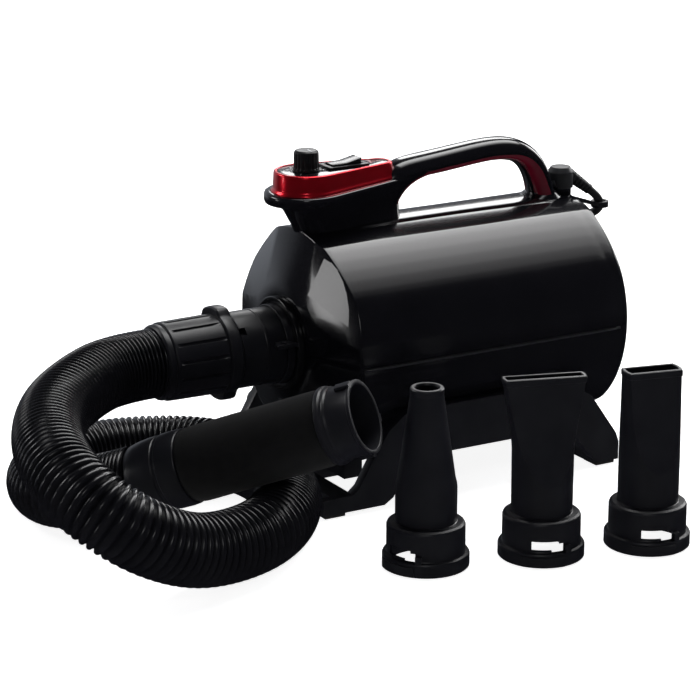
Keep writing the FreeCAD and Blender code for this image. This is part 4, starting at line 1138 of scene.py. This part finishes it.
knob_prof = [(3.02, 0), (10.4, 0), (10.5, 1.4), (9.9, 2.0), (9.8, 12.6), (9.4, 14.4), (8.0, 15.5), (0, 15.8), (0, 11), (3.02, 11)]
kb = lathe(knob_prof, (-76, 0, 248.6), (0, 0, 1), 144, 0.35, 3, knob_wave)
new_piece("dial_knob", kb, "knob_black", "knob", ["speed_knob"], smooth=math.radians(34))
bm = bmesh.new()
for x0, x1, y0, y1, z0, z1 in ((-76.35, -75.65, -8.6, -2.4, 264.2, 264.62),):
    vs = [bm.verts.new(R(x, y, z)) for z in (z0, z1) for x, y in ((x0, y0), (x1, y0), (x1, y1), (x0, y1))]
    for f in ((0, 3, 2, 1), (4, 5, 6, 7), (0, 1, 5, 4), (1, 2, 6, 5), (2, 3, 7, 6), (3, 0, 4, 7)):
        bm.faces.new([vs[i] for i in f])
new_piece("dial_pointer", bm, "aluminium", "knob", smooth=math.radians(20))
soft_copy("rocker_switch", 0.7, 3)
soft_copy("switch_frame", 0.6, 2)

# ------------------------------------------------------------------ base
soft_copy("base_cradle", 1.0, 3)
soft_copy("foot_pads", 0.8, 2)

# ------------------------------------------------------------------ outlet: trim, horn, collar, tab
new_piece("outlet_trim", lathe([(31.7, 0), (36.4, 0), (37, 0.6), (37, 6), (31.7, 6)], (-104, 0, CZ), (1, 0, 0), 112, 0.8), "switch_black", "dryer", ["front_trim_ring"])
new_piece("outlet_neck", lathe([(25.1, 0), (31.2, 0), (31.5, 0.6), (31.5, 14.8), (31.5, 26), (25.1, 26)], (-110, 0, CZ), (1, 0, 0), 112, 0.4), "satin_black", "dryer", ["outlet_horn"])
collar = new_piece("outlet_sleeve", lathe([(25, 0), (29.4, 0), (30, 0.7), (30, 20), (30.35, 20.6), (30.35, 22.4), (30, 23), (30, 37), (25, 37)], (-147, 0, CZ), (1, 0, 0), 128, 0.35), "satin_black", "dryer", ["outlet_collar"])
carve(collar, [temp_box(-147.6, -32, 131, -141.5, -11, 136)])
soft_copy("latch_tab", 0.6, 3)
soft_copy("outlet_seal", 0.4, 2)


# ------------------------------------------------------------------ hose cuff
def cuff_wave(r, z, a):
    if r > 30 and 3.5 < z < 42:
        k = (a * 14 / TAU) % 1
        ramp = min(1.0, (z - 3.5) / 2.5, (42 - z) / 1.5)
        g = 1.0 if k < 0.16 else 0.0
        return r - 1.5 * g * ramp, z
    return r, z


cuff_x0 = -148 - 11 - 45
bm = lathe([(22.0, 0), (29.6, 0), (30.4, 1.2), (30.5, 3.2), (30.5, 3.7), (30.6, 6.5), (31.0, 38), (31.0, 41), (31.0, 44.5), (31.0, 47), (24.9, 47),
            (24.9, 76), (22.0, 76)], (cuff_x0, 0, CZ), (1, 0, 0), 252, 0.3, 2, cuff_wave)


def lobe_r(a):
    """Outer radius of the lobed ring at angle a from straight up."""
    best = 33.2
    for deg in (-10, 172):
        d = abs((math.degrees(a) - deg + 180) % 360 - 180)
        best = max(best, 33.2 + 3.6 * (1 - smoothstep(17, 30, d)))
    return best


def lobe_ring(r, z, a):
    if r > 30:
        return lobe_r(a) - (33.2 - r), z
    return r, z


lathe([(25.0, 0), (32.0, 0), (33.0, 1.2), (33.2, 3.5), (33.2, 8), (32.8, 10), (31.6, 11), (25.0, 11)], (cuff_x0 + 45, 0, CZ), (1, 0, 0), 180, 0.4, 3, lobe_ring, bm)
new_piece("hose_cuff_body", bm, "satin_black", "cuff", ["hose_cuff"], smooth=math.radians(30))
new_piece("hose_end_collar", lathe([(22.0, 0), (27.6, 0), (29.2, 1.6), (29.4, 3), (29.4, 6), (22.0, 6)], (cuff_x0 - 6, 0, CZ), (1, 0, 0), 112, 0.6), "satin_black", "cuff", ["hose_end_ring"])

# ------------------------------------------------------------------ nozzles
NOZ = ((-97.0, -214.0), (-13.0, -239.0), (68.0, -259.0))
to_cam = math.atan2(back.y, back.x)


def nozzle_base(name, cx, cy, node, slot_at, body):
    bm = lathe([(27.1, 0), (31.2, 0), (32, 0.8), (32, 9.2), (31.4, 10.4), (29.4, 11.0), (29.0, 11.8), (28.9, 31.0), (28.2, 32.6),
                (26.4, 33.6), (23.0, 34.0), (22.4, 34.6), (20.2, 34.6), (20.2, 24), (27.1, 24)], (cx, cy, 0), (0, 0, 1), 128, 0.35)
    o = new_piece(name, bm, "satin_black", body, [node])
    tools = []
    # stepped bayonet window on each side
    for ang in (slot_at, slot_at + math.pi):
        tools.append(temp_box(cx + 20, cy - 11.5, 12.6, cx + 34, cy + 8.5, 19.4, ang, (cx, cy)))
        tools.append(temp_box(cx + 20, cy + 3.0, 11.0, cx + 34, cy + 12.0, 17.6, ang, (cx, cy)))
    carve(o, tools)
    return o


def lug_ring(bm, cx, cy, a0, a1, r0, r1, z0, z1, n=14):
    rows_ = []
    for r, z in ((r0, z0), (r1, z0 + 0.5), (r1, z1 - 0.6), (r0, z1)):
        rows_.append([bm.verts.new(R(cx + r * math.cos(a0 + (a1 - a0) * k / n), cy + r * math.sin(a0 + (a1 - a0) * k / n), z)) for k in range(n + 1)])
    for i in range(4):
        a_, b_ = rows_[i], rows_[(i + 1) % 4]
        for k in range(n):
            bm.faces.new([a_[k], a_[k + 1], b_[k + 1], b_[k]])
    bm.faces.new([r_[0] for r_ in rows_][::-1])
    bm.faces.new([r_[n] for r_ in rows_])


def cone_top(cx, cy):
    return lathe([(19.9, 31), (22.6, 31), (22.6, 60), (22.2, 63), (21.2, 67), (12.2, 129.6), (12.4, 130.6), (12.4, 133.8), (11.6, 134.8),
                  (9.4, 134.9), (8.6, 133), (18.6, 64), (19.9, 60)], (cx, cy, 0), (0, 0, 1), 112, 0.6)


def flat_top(cx, cy, a_of, h_of, ang, z0, z1, lip, wall_=2.3, nz=56):
    """Round below, cut by two sloped faces above, open at the top."""
    bm = bmesh.new()
    NA, NF = 26, 12

    def loop(z, off):
        a_ = a_of(z) - off
        b_ = 22.6 - off
        h = min(h_of(z) - off, b_)
        pts = []
        q = math.asin(max(-1, min(1, h / b_)))
        xc = a_ * math.cos(q)
        for k in range(NF):
            t = k / NF
            pts.append((xc - 2 * xc * t, h))
        for k in range(NA):
            t = math.pi - q + 2 * q * k / NA
            pts.append((a_ * math.cos(t), b_ * math.sin(t)))
        for k in range(NF):
            t = k / NF
            pts.append((-xc + 2 * xc * t, -h))
        for k in range(NA):
            t = -q + 2 * q * k / NA
            pts.append((a_ * math.cos(t), b_ * math.sin(t)))
        c, s_ = math.cos(ang), math.sin(ang)
        return [bm.verts.new(R(cx + x * c - y * s_, cy + x * s_ + y * c, z)) for x, y in pts]

    rows_ = []
    zs = [z0 + (z1 - 5.0 - z0) * i / nz for i in range(nz + 1)]
    for z in zs:
        rows_.append(loop(z, 0.0))
    for dz, off in ((0.35, -lip * 0.7), (0.9, -lip), (3.6, -lip), (4.6, -lip * 0.5), (5.0, 0.3), (5.0, wall_ - 0.4), (4.6, wall_)):
        rows_.append(loop(z1 - 5.0 + dz, off))
    for z in reversed(zs[::4]):
        rows_.append(loop(z, wall_))
    grid_faces(bm, rows_, True, True)
    return bm


def ramp(z, pts):
    for (a, p), (b, q) in zip(pts, pts[1:]):
        if z <= b:
            t = (z - a) / (b - a)
            return p + (q - p) * max(0, min(1, t))
    return pts[-1][1]


def smooth_ramp(pts):
    def f(z):
        return sum(ramp(z + d, pts) for d in (-4, -2, 0, 2, 4)) / 5
    return f


n1, n2, n3 = NOZ
nozzle_base("cone_base", *n1, "nozzle_cone", to_cam - 0.72, "round_nozzle")
new_piece("cone_tube", cone_top(*n1), "satin_black", "round_nozzle")
nozzle_base("fishtail_base", *n2, "nozzle_fishtail", to_cam + 0.10, "wide_nozzle")
fish = flat_top(*n2, smooth_ramp([(30, 22.6), (84, 22.8), (100, 25.0), (120, 28.6), (133, 30.6), (137, 31.0)]),
                smooth_ramp([(30, 24.0), (59, 22.7), (78, 14.0), (92, 9.6), (110, 7.4), (136.5, 5.9)]), math.radians(-18), 31, 136.5, 0.8)
new_piece("fishtail_tube", fish, "satin_black", "wide_nozzle", smooth=math.radians(22))
nozzle_base("flat_base", *n3, "nozzle_flat", to_cam + 0.16, "flat_nozzle")
flatn = flat_top(*n3, smooth_ramp([(30, 22.6), (70, 22.6), (135, 21.6)]),
                 smooth_ramp([(30, 25.0), (61, 22.7), (70, 18.6), (86, 14.6), (104, 11.6), (135, 8.4)]), math.radians(-13), 31, 135, 0.7)
new_piece("flat_tube", flatn, "satin_black", "flat_nozzle", smooth=math.radians(22))
for nm, (cx, cy), bd, off in (("cone_lugs", n1, "round_nozzle", -0.72), ("fishtail_lugs", n2, "wide_nozzle", 0.10), ("flat_lugs", n3, "flat_nozzle", 0.16)):
    bm = bmesh.new()
    for q in (0, math.pi):
        lug_ring(bm, cx, cy, to_cam + off + q - 0.62, to_cam + off + q + 0.42, 31.2, 32.9, 0.2, 8.6)
        lug_ring(bm, cx, cy, to_cam + off + q + 0.44, to_cam + off + q + 0.60, 28.0, 31.4, 9.0, 16.5, 5)
    new_piece(nm, bm, "satin_black", bd, smooth=math.radians(22))

# ------------------------------------------------------------------ rear intake
soft_copy("intake_cover", 0.6, 2)
soft_copy("intake_ring", 0.5, 2)

# ------------------------------------------------------------------ mains entry
soft_copy("cable_boss", 0.8, 2)
soft_copy("cable_boss_cap", 1.8, 3)
soft_copy("cord_clip", 0.6, 2)
rd = Vector((0.81, 0, -0.5864)).normalized()


def relief_wave(r, z, a):
    return r, z


prof = [(0, -5.0), (5.4, -5.0)]
z_ = -5.0
k = 0
while z_ < 22.5:
    r_out = 5.6 - 1.5 * (z_ + 5) / 30
    prof += [(r_out, z_ + 0.2), (r_out, z_ + 2.6), (r_out - 1.3, z_ + 2.9), (r_out - 1.3, z_ + 3.7)]
    z_ += 3.9
prof += [(4.1, 23.2), (4.0, 25.0), (0, 25.0)]
rel = lathe(prof, (169.5, 0, 216), tuple(rd), 64, 0.25, 2)
new_piece("cable_relief", rel, "cable_black", "dryer", ["strain_relief"])

bpy.context.view_layer.update()
